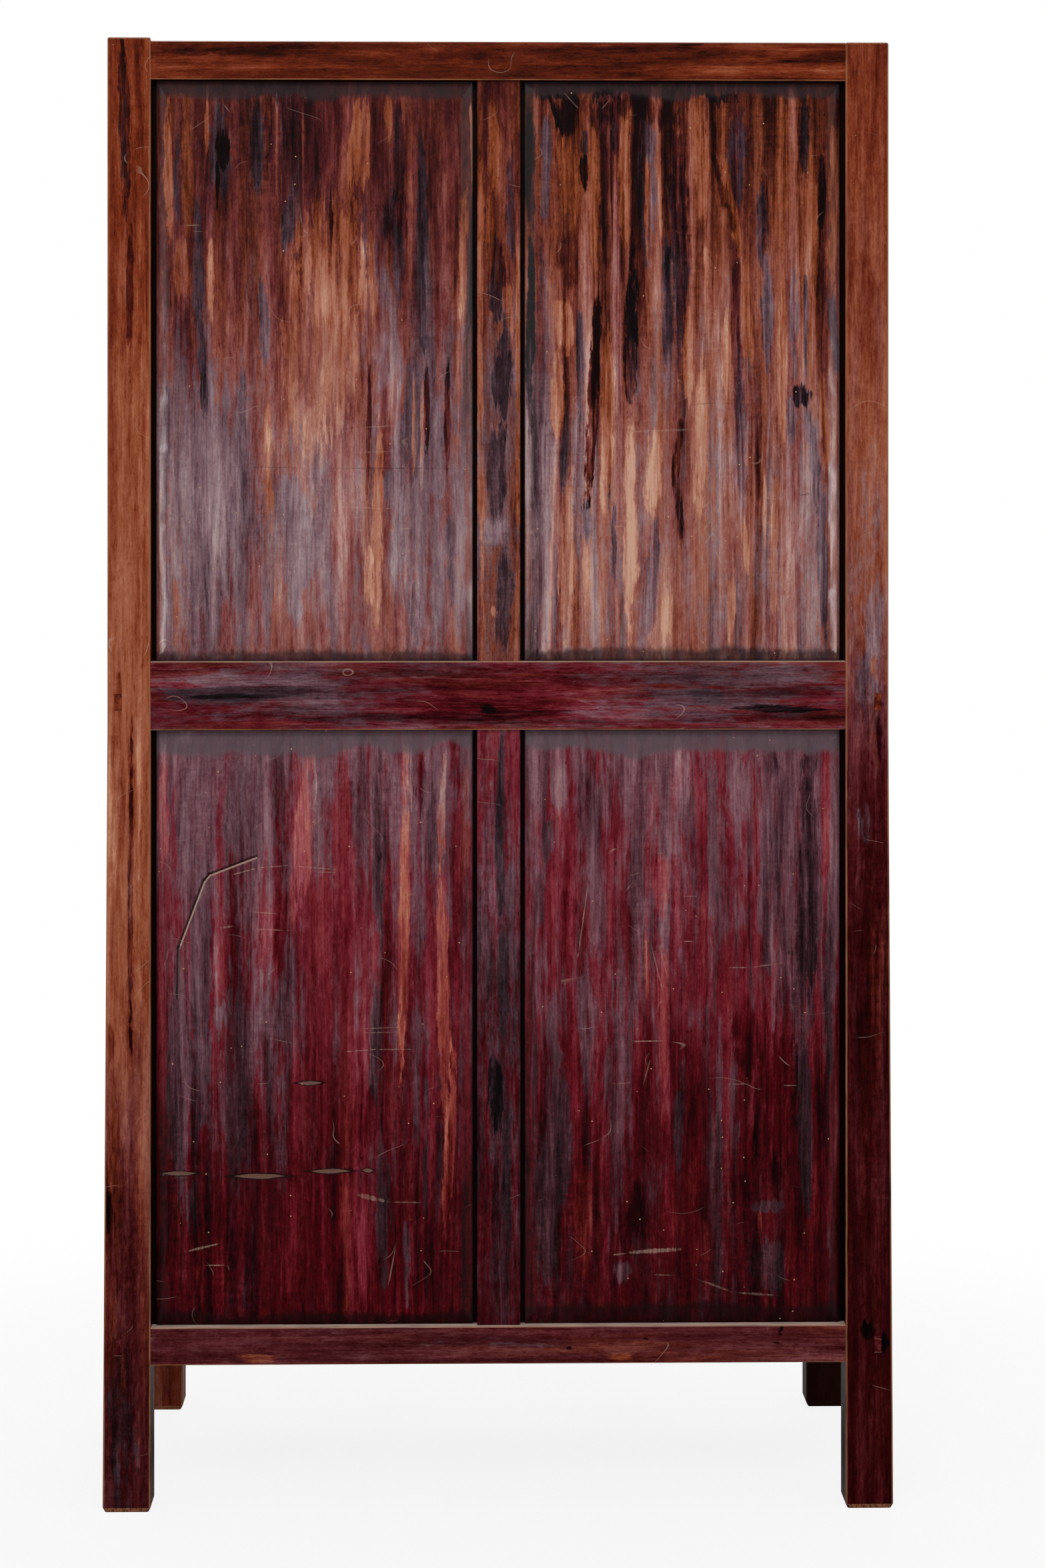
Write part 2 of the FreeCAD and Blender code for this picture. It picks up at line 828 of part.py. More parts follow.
def door_groove(x0, x1, z0, z1):
    """Groove in a door's frame for the tongue of its panel."""
    front = door_panel_back - tongue_thickness - groove_play
    return block(x0, x1, front, door_panel_back + groove_play, z0, z1)


def door_rail_spans():
    """Low and high edges of a door's two rails."""
    return ((door_base, door_panel_base), (door_panel_top, door_top))


def batten_spans():
    """Low and high edges of a door's battens."""
    height = door_panel_top - door_panel_base
    lows = [door_panel_base + height * share - batten_width / 2 for share in batten_shares]
    return [(low, low + batten_width) for low in lows]


def door_stile_cuts(side, edge, direction):
    """Groove and mortises in a stile's inner edge; direction points into the stile."""
    def inward(depth):
        return side * (edge + direction * depth)
    cuts = [door_groove(
        inward(-overrun), inward(groove_depth),
        door_panel_base - groove_depth, door_panel_top + groove_depth)]
    for low, high in door_rail_spans():
        cuts.append(block(
            inward(-overrun), inward(door_tenon_length + tenon_end_gap),
            door_tenon_front - tenon_play, door_tenon_front + door_tenon_thickness + tenon_play,
            low + door_tenon_shoulder - tenon_play, high - door_tenon_shoulder + tenon_play,
        ))
    for low, high in batten_spans():
        cuts.append(block(
            inward(-overrun), inward(batten_stub + tenon_end_gap),
            door_panel_back, batten_back + tenon_play,
            low - tenon_play, high + tenon_play,
        ))
    return cuts


def door_hinge_stile(side):
    """Stile whose round edge turns on a wooden pin at its top and foot."""
    inner = side * hinge_stile_edge
    axis = side * pivot_x
    outer = side * (pivot_x + door_edge_radius)

    def point(x, y):
        return FreeCAD.Vector(x, y, door_base)
    edges = [
        Part.LineSegment(point(axis, door_back), point(inner, door_back)),
        Part.LineSegment(point(inner, door_back), point(inner, door_front)),
        Part.LineSegment(point(inner, door_front), point(axis, door_front)),
        Part.Arc(point(axis, door_front), point(outer, pivot_y), point(axis, door_back)),
    ]
    outline = Part.Wire([edge.toShape() for edge in edges])
    stile = Part.Face(outline).extrude(along_z * (door_top - door_base))
    reach = pivot_pin_length
    pin_base = door_base - door_end_gap - reach
    pin = Part.makeCylinder(
        pivot_pin_radius, door_top + door_end_gap + reach - pin_base,
        FreeCAD.Vector(axis, pivot_y, pin_base), along_z)
    return join([stile, pin]).cut(door_stile_cuts(side, hinge_stile_edge, 1))


def door_lock_stile(side):
    """Stile at the middle of the cabinet, drilled for the plate's nails."""
    stile = block(
        side * door_inner_edge, side * lock_stile_edge, door_front, door_back, door_base, door_top)
    cuts = door_stile_cuts(side, lock_stile_edge, -1) + nail_holes(side)
    return stile.cut(cuts)


def door_rails(side):
    """A door's top and bottom rail and the two battens behind its panel."""
    x0 = side * lock_stile_edge
    x1 = side * hinge_stile_edge
    solids = []
    edges = ((door_panel_base, -1), (door_panel_top, 1))
    for (low, high), (edge_z, direction) in zip(door_rail_spans(), edges):
        bar = block(x0, x1, door_front, door_back, low, high)
        tenon = block(
            side * (lock_stile_edge - door_tenon_length), side * (hinge_stile_edge + door_tenon_length),
            door_tenon_front, door_tenon_front + door_tenon_thickness,
            low + door_tenon_shoulder, high - door_tenon_shoulder,
        )
        groove = door_groove(x0, x1, edge_z - direction * overrun, edge_z + direction * groove_depth)
        solids.append(join([bar.cut(groove), tenon]))
    for low, high in batten_spans():
        solids.append(block(
            side * (lock_stile_edge - batten_stub), side * (hinge_stile_edge + batten_stub),
            door_panel_back + groove_play, batten_back, low, high,
        ))
    return group(solids)


def door_panel(side):
    """Flush panel that floats in the door's frame, behind a narrow channel."""
    board = block(
        side * (lock_stile_edge - tongue_length), side * (hinge_stile_edge + tongue_length),
        door_panel_back - tongue_thickness, door_panel_back,
        door_panel_base - tongue_length, door_panel_top + tongue_length,
    )
    field = block(
        side * (lock_stile_edge + door_channel), side * (hinge_stile_edge - door_channel),
        door_panel_front, door_panel_back - tongue_thickness,
        door_panel_base + door_channel, door_panel_top - door_channel,
    )
    return join([board, field]).cut(nail_holes(side))


# Round plates, their nails, lugs, pin and pulls

def nail_places(side):
    """Where each nail of a door's half plate stands, as x and z."""
    circle = plate_radius * nail_circle_share
    places = []
    for share in nail_turn_shares:
        turn = math.pi * share
        places.append((side * circle * math.sin(turn), plate_height + circle * math.cos(turn)))
    return places


def nail_holes(side):
    """Holes in the door's wood under the plate's nails."""
    radius = nail_shank_radius + nail_play
    start = plate_face - overrun
    length = overrun + plate_thickness + nail_length + nail_play
    return [
        Part.makeCylinder(radius, length, FreeCAD.Vector(x, start, z), along_y)
        for x, z in nail_places(side)
    ]


def nails(side):
    """Domed nails through the plate into the door."""
    sphere_radius = (nail_head_radius ** 2 + nail_head_rise ** 2) / (2 * nail_head_rise)
    solids = []
    ball_y = plate_face + sphere_radius - nail_head_rise
    for x, z in nail_places(side):
        ball = Part.makeSphere(sphere_radius, FreeCAD.Vector(x, ball_y, z))
        room = block(
            x - nail_head_radius, x + nail_head_radius,
            plate_face - nail_head_rise, plate_face, z - nail_head_radius, z + nail_head_radius)
        shank = Part.makeCylinder(
            nail_shank_radius, plate_thickness + nail_length, FreeCAD.Vector(x, plate_face, z), along_y)
        solids.append(join([ball.common(room), shank]))
    return solids


def eyelet(x0, x1, axis_y, axis_z, radius, foot_y):
    """Plate on edge that stands on foot_y and is rounded about an axis along X."""
    corners = ((foot_y, axis_z - radius), (axis_y, axis_z - radius))
    tip = FreeCAD.Vector(x0, axis_y - radius, axis_z)
    low_foot, low = [FreeCAD.Vector(x0, y, z) for y, z in corners]
    high_foot, high = [FreeCAD.Vector(x0, y, 2 * axis_z - z) for y, z in corners]
    edges = [
        Part.LineSegment(low_foot, low),
        Part.Arc(low, tip, high),
        Part.LineSegment(high, high_foot),
        Part.LineSegment(high_foot, low_foot),
    ]
    outline = Part.Wire([edge.toShape() for edge in edges])
    return Part.Face(outline).extrude(along_x * (x1 - x0))


def half_disc(side):
    """One door's half of the round plate."""
    edge = side * (door_inner_edge + plate_centre_gap / 2)
    rise = math.sqrt(plate_radius ** 2 - edge ** 2)

    def point(x, z):
        return FreeCAD.Vector(x, plate_face, z)
    top = point(edge, plate_height + rise)
    foot = point(edge, plate_height - rise)
    rim = Part.Arc(top, point(side * plate_radius, plate_height), foot)
    outline = Part.Wire([rim.toShape(), Part.LineSegment(foot, top).toShape()])
    return Part.Face(outline).extrude(along_y * plate_thickness)


def lock_plate(side):
    """Half plate with its lugs and the pull's two ears and rod, and its nails."""
    places = [inner_lug_place, outer_lug_place] if side < 0 else [inner_lug_place]
    half = lug_thickness / 2
    fixed = [half_disc(side)]
    for place in places:
        middle = side * place
        fixed.append(eyelet(middle - half, middle + half, lug_axis_y, plate_height, lug_radius, plate_face))
    ear_inner = pull_knuckle_width / 2 + ear_gap
    ear_outer = ear_inner + ear_thickness
    middle = side * pull_place
    for end in (-1, 1):
        fixed.append(eyelet(
            middle + end * ear_inner, middle + end * ear_outer,
            pull_axis_y, pull_axis_z, ear_radius, plate_face))
    rod_start = FreeCAD.Vector(middle - ear_outer, pull_axis_y, pull_axis_z)
    fixed.append(Part.makeCylinder(pull_rod_radius, 2 * ear_outer, rod_start, along_x))
    plate = join(fixed)
    pin_hole = Part.makeCylinder(
        lock_pin_radius + lock_pin_play, 2 * plate_radius,
        FreeCAD.Vector(-plate_radius, lug_axis_y, plate_height), along_x)
    plate = plate.cut([pin_hole] + nail_holes(side))
    return group(plate.Solids + nails(side))


def lock_pin():
    """Sliding pin in the left door's lugs, with a knob between them to push it by."""
    start = FreeCAD.Vector(-pin_tail, lug_axis_y, plate_height)
    pin = Part.makeCylinder(lock_pin_radius, pin_tail - pin_tip, start, along_x)
    knob_start = FreeCAD.Vector(-knob_edge, lug_axis_y, plate_height)
    knob = Part.makeCylinder(knob_radius, knob_width, knob_start, along_x)
    return join([pin, knob])


def door_pull(side):
    """Vase-shaped drop that swings on the rod between the plate's ears."""
    middle = FreeCAD.Vector(side * pull_place, pull_axis_y, pull_axis_z)
    curve = []
    for length_share, swell_share in vase_shares:
        radius = pull_neck_radius + (pull_radius - pull_neck_radius) * swell_share
        curve.append(middle + FreeCAD.Vector(radius, 0, -pull_length * length_share))
    swell = Part.BSplineCurve()
    swell.interpolate(curve)
    start = middle + along_x * pull_neck_radius
    foot = middle - along_z * pull_length
    edges = [
        Part.LineSegment(middle, start).toShape(),
        Part.LineSegment(start, curve[0]).toShape(),
        swell.toShape(),
        Part.LineSegment(curve[-1], foot).toShape(),
        Part.LineSegment(foot, middle).toShape(),
    ]
    full_turn = 360
    drop = Part.Face(Part.Wire(edges)).revolve(middle, along_z, full_turn)
    knuckle_start = middle - along_x * (pull_knuckle_width / 2)
    knuckle = Part.makeCylinder(pull_knuckle_radius, pull_knuckle_width, knuckle_start, along_x)
    bore = Part.makeCylinder(
        pull_rod_radius + pull_rod_play, pull_knuckle_width, knuckle_start, along_x)
    return join([drop, knuckle]).cut(bore)


# Drawers, their plates and bails

def drawer_bottom_edges(side, reach):
    """The drawer bottom's low and high x and its front and back y, out to the reach."""
    inner = drawer_inner_edge + drawer_side_thickness - reach
    outer = drawer_outer_edge - drawer_side_thickness + reach
    front = drawer_front_back - reach
    back = drawer_back - drawer_side_thickness + reach
    return side * inner, side * outer, front, back


def drawer_bottom_groove(side):
    """The groove round the drawer that holds its bottom."""
    x0, x1, y0, y1 = drawer_bottom_edges(side, drawer_bottom_tongue)
    return block(
        x0, x1, y0, y1,
        drawer_bottom_base - drawer_bottom_play, drawer_bottom_top + drawer_bottom_play)


def drawer_side_spans():
    """The two sides of a drawer, as their inner and outer edges from the middle."""
    return (
        (drawer_inner_edge, drawer_inner_edge + drawer_side_thickness),
        (drawer_outer_edge - drawer_side_thickness, drawer_outer_edge),
    )


def drawer_front(side):
    """Drawer front, housed for the sides and bored for the studs of its plate."""
    base = bottom_rail_top + drawer_end_gap
    top = waist_rail_base - drawer_end_gap
    board = block(
        side * drawer_inner_edge, side * drawer_outer_edge, door_front, drawer_front_back, base, top)
    side_top = drawer_base + drawer_side_height
    cuts = [drawer_bottom_groove(side)]
    for inner, outer in drawer_side_spans():
        cuts.append(block(
            side * (inner - tenon_play), side * (outer + tenon_play),
            drawer_front_back - drawer_side_housing - tenon_end_gap, drawer_front_back + overrun,
            base - overrun, side_top + tenon_play,
        ))
    for end in (-1, 1):
        place = FreeCAD.Vector(side * drawer_middle + end * stud_spread, door_front - overrun, bail_axis_z)
        cuts.append(Part.makeCylinder(
            stud_shank_radius + stud_shank_play, drawer_front_thickness + 2 * overrun, place, along_y))
    return board.cut(cuts)


def drawer_box(side):
    """Drawer sides and back, grooved for the bottom."""
    top = drawer_base + drawer_side_height
    groove = drawer_bottom_groove(side)
    solids = []
    for inner, outer in drawer_side_spans():
        board = block(
            side * inner, side * outer,
            drawer_front_back - drawer_side_housing, drawer_back, drawer_base, top)
        solids.append(board.cut(groove))
    inner = drawer_side_spans()[0][1]
    outer = drawer_side_spans()[1][0]
    back = block(
        side * inner, side * outer, drawer_back - drawer_side_thickness, drawer_back, drawer_base, top)
    solids.append(back.cut(groove))
    return group(solids)


def drawer_bottom(side):
    """Drawer bottom, held in the groove round the drawer."""
    x0, x1, y0, y1 = drawer_bottom_edges(side, drawer_bottom_tongue - drawer_bottom_play)
    return block(x0, x1, y0, y1, drawer_bottom_base, drawer_bottom_top)


def drawer_plate(side):
    """Long plate with two bored studs, whose shanks go through the drawer front."""
    middle = side * drawer_middle
    straight = drawer_plate_half_length - drawer_plate_half_height
    base = block(
        middle - straight, middle + straight, drawer_plate_face, door_front,
        bail_axis_z - drawer_plate_half_height, bail_axis_z + drawer_plate_half_height)
    pieces = [base]
    for end in (-1, 1):
        cap_place = FreeCAD.Vector(middle + end * straight, drawer_plate_face, bail_axis_z)
        pieces.append(Part.makeCylinder(
            drawer_plate_half_height, drawer_plate_thickness, cap_place, along_y))
        stud_x = middle + end * stud_spread
        stud_front = bail_axis_y - stud_tip
        pieces.append(Part.makeCylinder(
            stud_radius, drawer_plate_face - stud_front,
            FreeCAD.Vector(stud_x, stud_front, bail_axis_z), along_y))
        pieces.append(Part.makeCylinder(
            stud_shank_radius, drawer_front_thickness + drawer_plate_thickness,
            FreeCAD.Vector(stud_x, drawer_plate_face, bail_axis_z), along_y))
    bore = Part.makeCylinder(
        bail_rod_radius + bail_play, 2 * drawer_plate_half_length,
        FreeCAD.Vector(middle - drawer_plate_half_length, bail_axis_y, bail_axis_z), along_x)
    return join(pieces).cut(bore)


def drawer_bail(side):
    """Bail bent from round rod, with its ends in the studs."""
    middle = side * drawer_middle
    arm = stud_spread + stud_radius + bail_end_reach + bail_bend_radius
    diagonal = 1 - math.sqrt(0.5)

    def point(u, z):
        return FreeCAD.Vector(middle + u, bail_axis_y, bail_axis_z + z)

    def half_path(end):
        """Edges from the rod's end in a stud down to the middle of the grip."""
        start = stud_spread - stud_radius - bail_end_reach
        bend = arm - bail_bend_radius
        corner = arm - bail_corner_radius
        corner_z = bail_corner_radius - bail_drop
        return [
            Part.LineSegment(point(end * start, 0), point(end * bend, 0)),
            Part.Arc(
                point(end * bend, 0),
                point(end * (arm - bail_bend_radius * diagonal), -bail_bend_radius * diagonal),
                point(end * arm, -bail_bend_radius)),
            Part.LineSegment(point(end * arm, -bail_bend_radius), point(end * arm, corner_z)),
            Part.Arc(
                point(end * arm, corner_z),
                point(end * (arm - bail_corner_radius * diagonal), bail_corner_radius * diagonal - bail_drop),
                point(end * corner, -bail_drop)),
        ]
    corner = arm - bail_corner_radius
    edges = half_path(-1) + half_path(1)
    edges.append(Part.LineSegment(point(-corner, -bail_drop), point(corner, -bail_drop)))
    path = Part.Wire(Part.__sortEdges__([edge.toShape() for edge in edges]))
    start = stud_spread - stud_radius - bail_end_reach
    section = Part.Wire(Part.makeCircle(bail_rod_radius, point(-start, 0), along_x))
    return path.makePipeShell([section], True, False)


def build():
    """Every sub-part of the cabinet, by node name."""
    made = posts()
    for wall in ("back", "left", "right"):
        made["top_rail_" + wall] = top_rail(wall)
        made["mid_rail_" + wall] = mid_rail(wall)
        made["bottom_rail_" + wall] = bottom_rail(wall)
    made["top_rail_front"] = top_rail_front()
    made["bottom_rail_front"] = bottom_rail_front()
    made["waist_rail"] = waist_rail()
    made["back_mullion_upper"] = mullion(mid_rail_top, top_rail_base)
    made["back_mullion_lower"] = mullion(bottom_rail_top, mid_rail_base)
    made.update(panels())
    made["top_panel"] = deck(top_panel_top, top_panel_thickness)
    made["top_brace"] = top_brace()
    made["base_panel"] = deck(bottom_rail_top, base_panel_thickness)
    made["floor_panel"] = floor_panel()
    made["shelf_panel"] = shelf_panel()
    made["inner_bearers"] = inner_bearers()
    made["drawer_guides"] = drawer_guides()
    made["drawer_divider"] = drawer_divider()
    made["apron_front"] = apron("front", apron_front_drop)
    made["apron_left"] = apron("left", apron_side_drop)
    made["apron_right"] = apron("right", apron_side_drop)
    made["lock_pin"] = lock_pin()
    for place, side in sides.items():
        made["door_%s_hinge_stile" % place] = door_hinge_stile(side)
        made["door_%s_lock_stile" % place] = door_lock_stile(side)
        made["door_%s_rails" % place] = door_rails(side)
        made["door_%s_panel" % place] = door_panel(side)
        made["lock_plate_" + place] = lock_plate(side)
        made["door_pull_" + place] = door_pull(side)
        made["drawer_%s_front" % place] = drawer_front(side)
        made["drawer_%s_box" % place] = drawer_box(side)
        made["drawer_%s_bottom" % place] = drawer_bottom(side)
        made["drawer_plate_" + place] = drawer_plate(side)
        made["drawer_bail_" + place] = drawer_bail(side)
    return made


os.makedirs("parts", exist_ok=True)
for node, shape in build().items():
    shape.exportStep("parts/" + node + ".step")
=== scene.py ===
"""Finishes a packed wedding cabinet: lacquered frame, hand-planed panels, brass and a plain studio."""

import math

import bpy
import numpy as np
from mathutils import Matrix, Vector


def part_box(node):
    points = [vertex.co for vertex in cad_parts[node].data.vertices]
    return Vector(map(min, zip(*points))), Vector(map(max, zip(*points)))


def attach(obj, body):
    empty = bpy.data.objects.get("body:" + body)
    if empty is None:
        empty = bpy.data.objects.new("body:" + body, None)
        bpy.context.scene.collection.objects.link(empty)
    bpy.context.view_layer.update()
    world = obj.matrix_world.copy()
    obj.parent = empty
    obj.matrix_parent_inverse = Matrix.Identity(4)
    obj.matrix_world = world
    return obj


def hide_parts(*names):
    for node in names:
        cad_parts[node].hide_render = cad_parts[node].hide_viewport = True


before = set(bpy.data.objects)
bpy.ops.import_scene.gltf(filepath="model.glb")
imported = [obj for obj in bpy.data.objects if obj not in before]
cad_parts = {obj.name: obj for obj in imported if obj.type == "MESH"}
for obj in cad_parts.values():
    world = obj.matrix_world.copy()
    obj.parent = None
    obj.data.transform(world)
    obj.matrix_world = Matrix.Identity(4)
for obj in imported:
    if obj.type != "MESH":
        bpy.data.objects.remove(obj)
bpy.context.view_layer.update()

bl_info = {
    "name": "Wedding cabinet finish",
    "version": (1, 0, 0),
    "blender": (4, 5, 0),
    "location": "View3D > Sidebar > Cabinet",
    "description": "Lacquer, planed panels, brass and a studio for a framed cabinet",
    "category": "Object",
}

# The cabinet's frame is in metres and the finishes are written in millimetres.
mm = 0.001
per_metre = 1000.0

SIDES = ("left", "right")
WHITE = (1.0, 1.0, 1.0, 1.0)


def linear(red, green, blue):
    """Linear colour from one written as 0 to 255 on a screen."""
    shares = [v / 255 for v in (red, green, blue)]
    return tuple(s / 12.92 if s <= 0.04045 else ((s + 0.055) / 1.055) ** 2.4 for s in shares) + (1.0,)


# Tones at which the colours of a lacquer stand
LACQUER_TONES = (0.0, 0.16, 0.34, 0.5, 0.66, 0.82, 1.0)


def lacquer_ramp(*colours):
    """Stops of a lacquer's ramp from its seven colours, darkest first."""
    return tuple(zip(LACQUER_TONES, colours))


def even_ramp(*colours):
    """Stops of a ramp whose colours stand at even steps, darkest first."""
    return tuple((number / (len(colours) - 1), colour) for number, colour in enumerate(colours))


AMBER = lacquer_ramp(
    (20, 6, 3), (46, 15, 8), (94, 39, 18), (136, 69, 42), (158, 95, 74), (175, 120, 99), (198, 154, 132))
PLUM = lacquer_ramp(
    (13, 3, 4), (34, 9, 11), (70, 24, 25), (104, 45, 44), (134, 74, 71), (158, 106, 100), (188, 146, 136))
CRIMSON = lacquer_ramp(
    (10, 1, 2), (35, 2, 5), (71, 5, 12), (105, 22, 34), (130, 49, 59), (152, 76, 82), (178, 106, 104))
EMBER = lacquer_ramp(
    (18, 4, 3), (44, 9, 7), (84, 22, 17), (118, 44, 36), (146, 68, 58), (168, 94, 78), (196, 136, 110))
# Grey of the bloom: partly the lacquer's own haze, partly painted sheen of the lamps on the lacquer
SLATE = lacquer_ramp(
    (11, 8, 10), (27, 20, 24), (52, 41, 48), (84, 67, 76), (114, 93, 102), (142, 121, 127), (170, 152, 154))
RUSSET = lacquer_ramp(
    (18, 5, 2), (44, 12, 5), (86, 28, 12), (120, 49, 25), (144, 75, 48), (164, 97, 70), (190, 134, 104))
MAROON = lacquer_ramp(
    (4, 0, 0), (24, 1, 2), (48, 4, 6), (72, 18, 22), (98, 40, 44), (124, 66, 66), (156, 104, 98))
UMBER = even_ramp(
    (30, 16, 10), (58, 34, 21), (92, 60, 38), (124, 86, 56), (150, 110, 76), (176, 138, 100))
DOOR_RED = even_ramp(
    (22, 4, 4), (56, 8, 8), (96, 16, 14), (124, 26, 20), (146, 42, 30), (176, 78, 54))
BRASS = (
    (0.0, (52, 34, 16)), (0.3, (104, 74, 34)), (0.6, (158, 120, 62)), (1.0, (206, 172, 104)),
)
# Colours of the panels' end bands: partly grey wax and dirt, partly painted reflection and sheen on the end
# bevels
WAX_AND_REFLECTION_GREY = (48, 36, 38)
GREY_BLOOM_AND_SHEEN = (88, 76, 82)
# Dark of the gouges and the bent scratch, and of the lower panels' bottom bands, which are partly painted
# shade
NIGHT = (26, 10, 12)
# Near-black: the dark scratches, and painted shade in the panels' channels, on the frame's inner sides and on
# a front foot
SOOT_AND_SHADE = (16, 4, 4)
DUST = (218, 190, 176)
SCRAPE = (112, 82, 72)
PALE_LINE = (184, 150, 136)
# Pale gold of the arrises: partly rubbed wear, partly painted highlight
WORN_GOLD_AND_HIGHLIGHT = (160, 108, 76)
SPECK = (190, 150, 112)

# Marks on the wood. Each row is a place x and z and a half width and half height in millimetres,
# then what it adds in hundredths to the tone, to the warmth and to the grey bloom with its painted
# sheen, then its crispness in tenths and its lean in hundredths, each left out where it is as usual.
USUAL_MARK = (3, 0)
UPPER_RIGHT = (
    (175, 1712, 18, 59, 14, 70, -30, 6, -1), (218, 1734, 15, 60, 2, -30, -40, 2),
    (212, 1576, 50, 82, 11, 45, -30, 6), (228, 1460, 54, 125, 10, 30, -25, 5, -3),
    (249, 1335, 40, 85, 11, 15, -10, 4), (197, 1307, 35, 85, 8, 0, 5, 2), (290, 1350, 3, 20, 14, 80, -20),
    (222, 1426, 3, 11, 18, 90, -20), (265, 1618, 10, 34, -14, -20, 30), (415, 1683, 7, 75, 19, 90, 0, 4),
    (404, 1664, 6, 69, -9, 0, 60, 2), (391, 1693, 8, 103, 0, 63, 0, 2),
    (366, 1748, 3, 50, 21, 90, 0, 4, -2), (349, 1712, 14, 63, 0, -27, 90, 5, 3),
    (347, 1716, 9, 25, -42, 0, -80, 5), (354, 1660, 3, 36, -40, 0, -60, 4, -2),
    (323, 1565, 10, 168, 3, 18, 0, 2), (302, 1714, 8, 52, -6, -27, 60), (260, 1714, 35, 78, -8, -54, 0, 4),
    (278, 1725, 2, 75, 12, 54, 0), (246, 1708, 2, 67, 12, 54, 0), (282, 1791, 84, 13, -15, -54, 35, 3, 67),
    (360, 1547, 5, 56, 21, 90, -30), (398, 1561, 12, 38, 12, 54, -20), (376, 1540, 9, 109, -3, -27, 70),
    (371, 1435, 7, 71, -19, -36, 40), (298, 1492, 8, 61, -6, -27, 80), (270, 1613, 4, 36, -3, -18, 70),
    (204, 1750, 11, 35, -6, -63, -10), (139, 1750, 6, 27, 9, 63, 0, 4),
    (124, 1708, 10, 75, -17, -36, 40, 2), (94, 1586, 9, 155, -8, -27, 75),
    (94, 1523, 3, 92, -15, -27, 40, 4), (36, 1707, 3, 46, 27, 90, -20, 4),
    (45, 1576, 7, 82, 20, 90, -30, 4), (34, 1567, 3, 99, -31, -27, 60, 5), (171, 1540, 5, 59, 17, 63, -20),
    (158, 1548, 7, 42, 9, 63, 0, 2), (141, 1532, 7, 101, 0, 9, 0, 2), (126, 1569, 8, 55, 0, -18, 50),
    (211, 1632, 3, 35, -34, 0, 0), (131, 1624, 24, 34, -14, -27, 10, 2),
    (366, 1272, 60, 159, 5, -18, 60, 0), (323, 1354, 6, 103, -14, -18, 70, 5),
    (370, 1406, 7, 42, -15, -18, 40), (365, 1192, 6, 46, -14, -18, 60),
    (419, 1372, 5, 59, -9, -18, 60, 3, 4), (395, 1330, 8, 101, 3, 18, -20), (292, 1351, 5, 55, 12, 54, -30),
    (289, 1272, 4, 42, 6, 81, -30), (261, 1265, 22, 36, 0, -27, 90, 6, 7),
    (247, 1213, 25, 50, 1, -27, 95, 6, -11), (256, 1146, 11, 42, 1, -27, 90, 5),
    (193, 1255, 27, 159, 5, -9, -10, 2, -2), (164, 1358, 4, 90, -23, -18, -10, 5),
    (150, 1238, 8, 126, 17, 72, -50, 4), (137, 1284, 10, 25, 3, -18, 60), (126, 1200, 11, 55, 3, -18, 50),
    (107, 1366, 3, 73, 17, 81, -30, 4, -1), (96, 1351, 3, 80, 19, 90, -40, 4, -1),
    (91, 1374, 4, 52, -40, -27, -40, 6), (64, 1370, 5, 69, -36, -27, -20, 5, -1),
    (76, 1326, 8, 80, 8, -18, 60), (47, 1251, 10, 155, 8, 9, 30, 2), (163, 1171, 7, 38, 21, 54, -50),
    (105, 1130, 6, 41, -17, -27, 60), (81, 1171, 10, 75, 5, -9, 45, 2),
    (61, 1205, 8, 59, -15, -18, 60, 3, -2), (90, 1290, 55, 190, -4, -10, 26, 0),
)
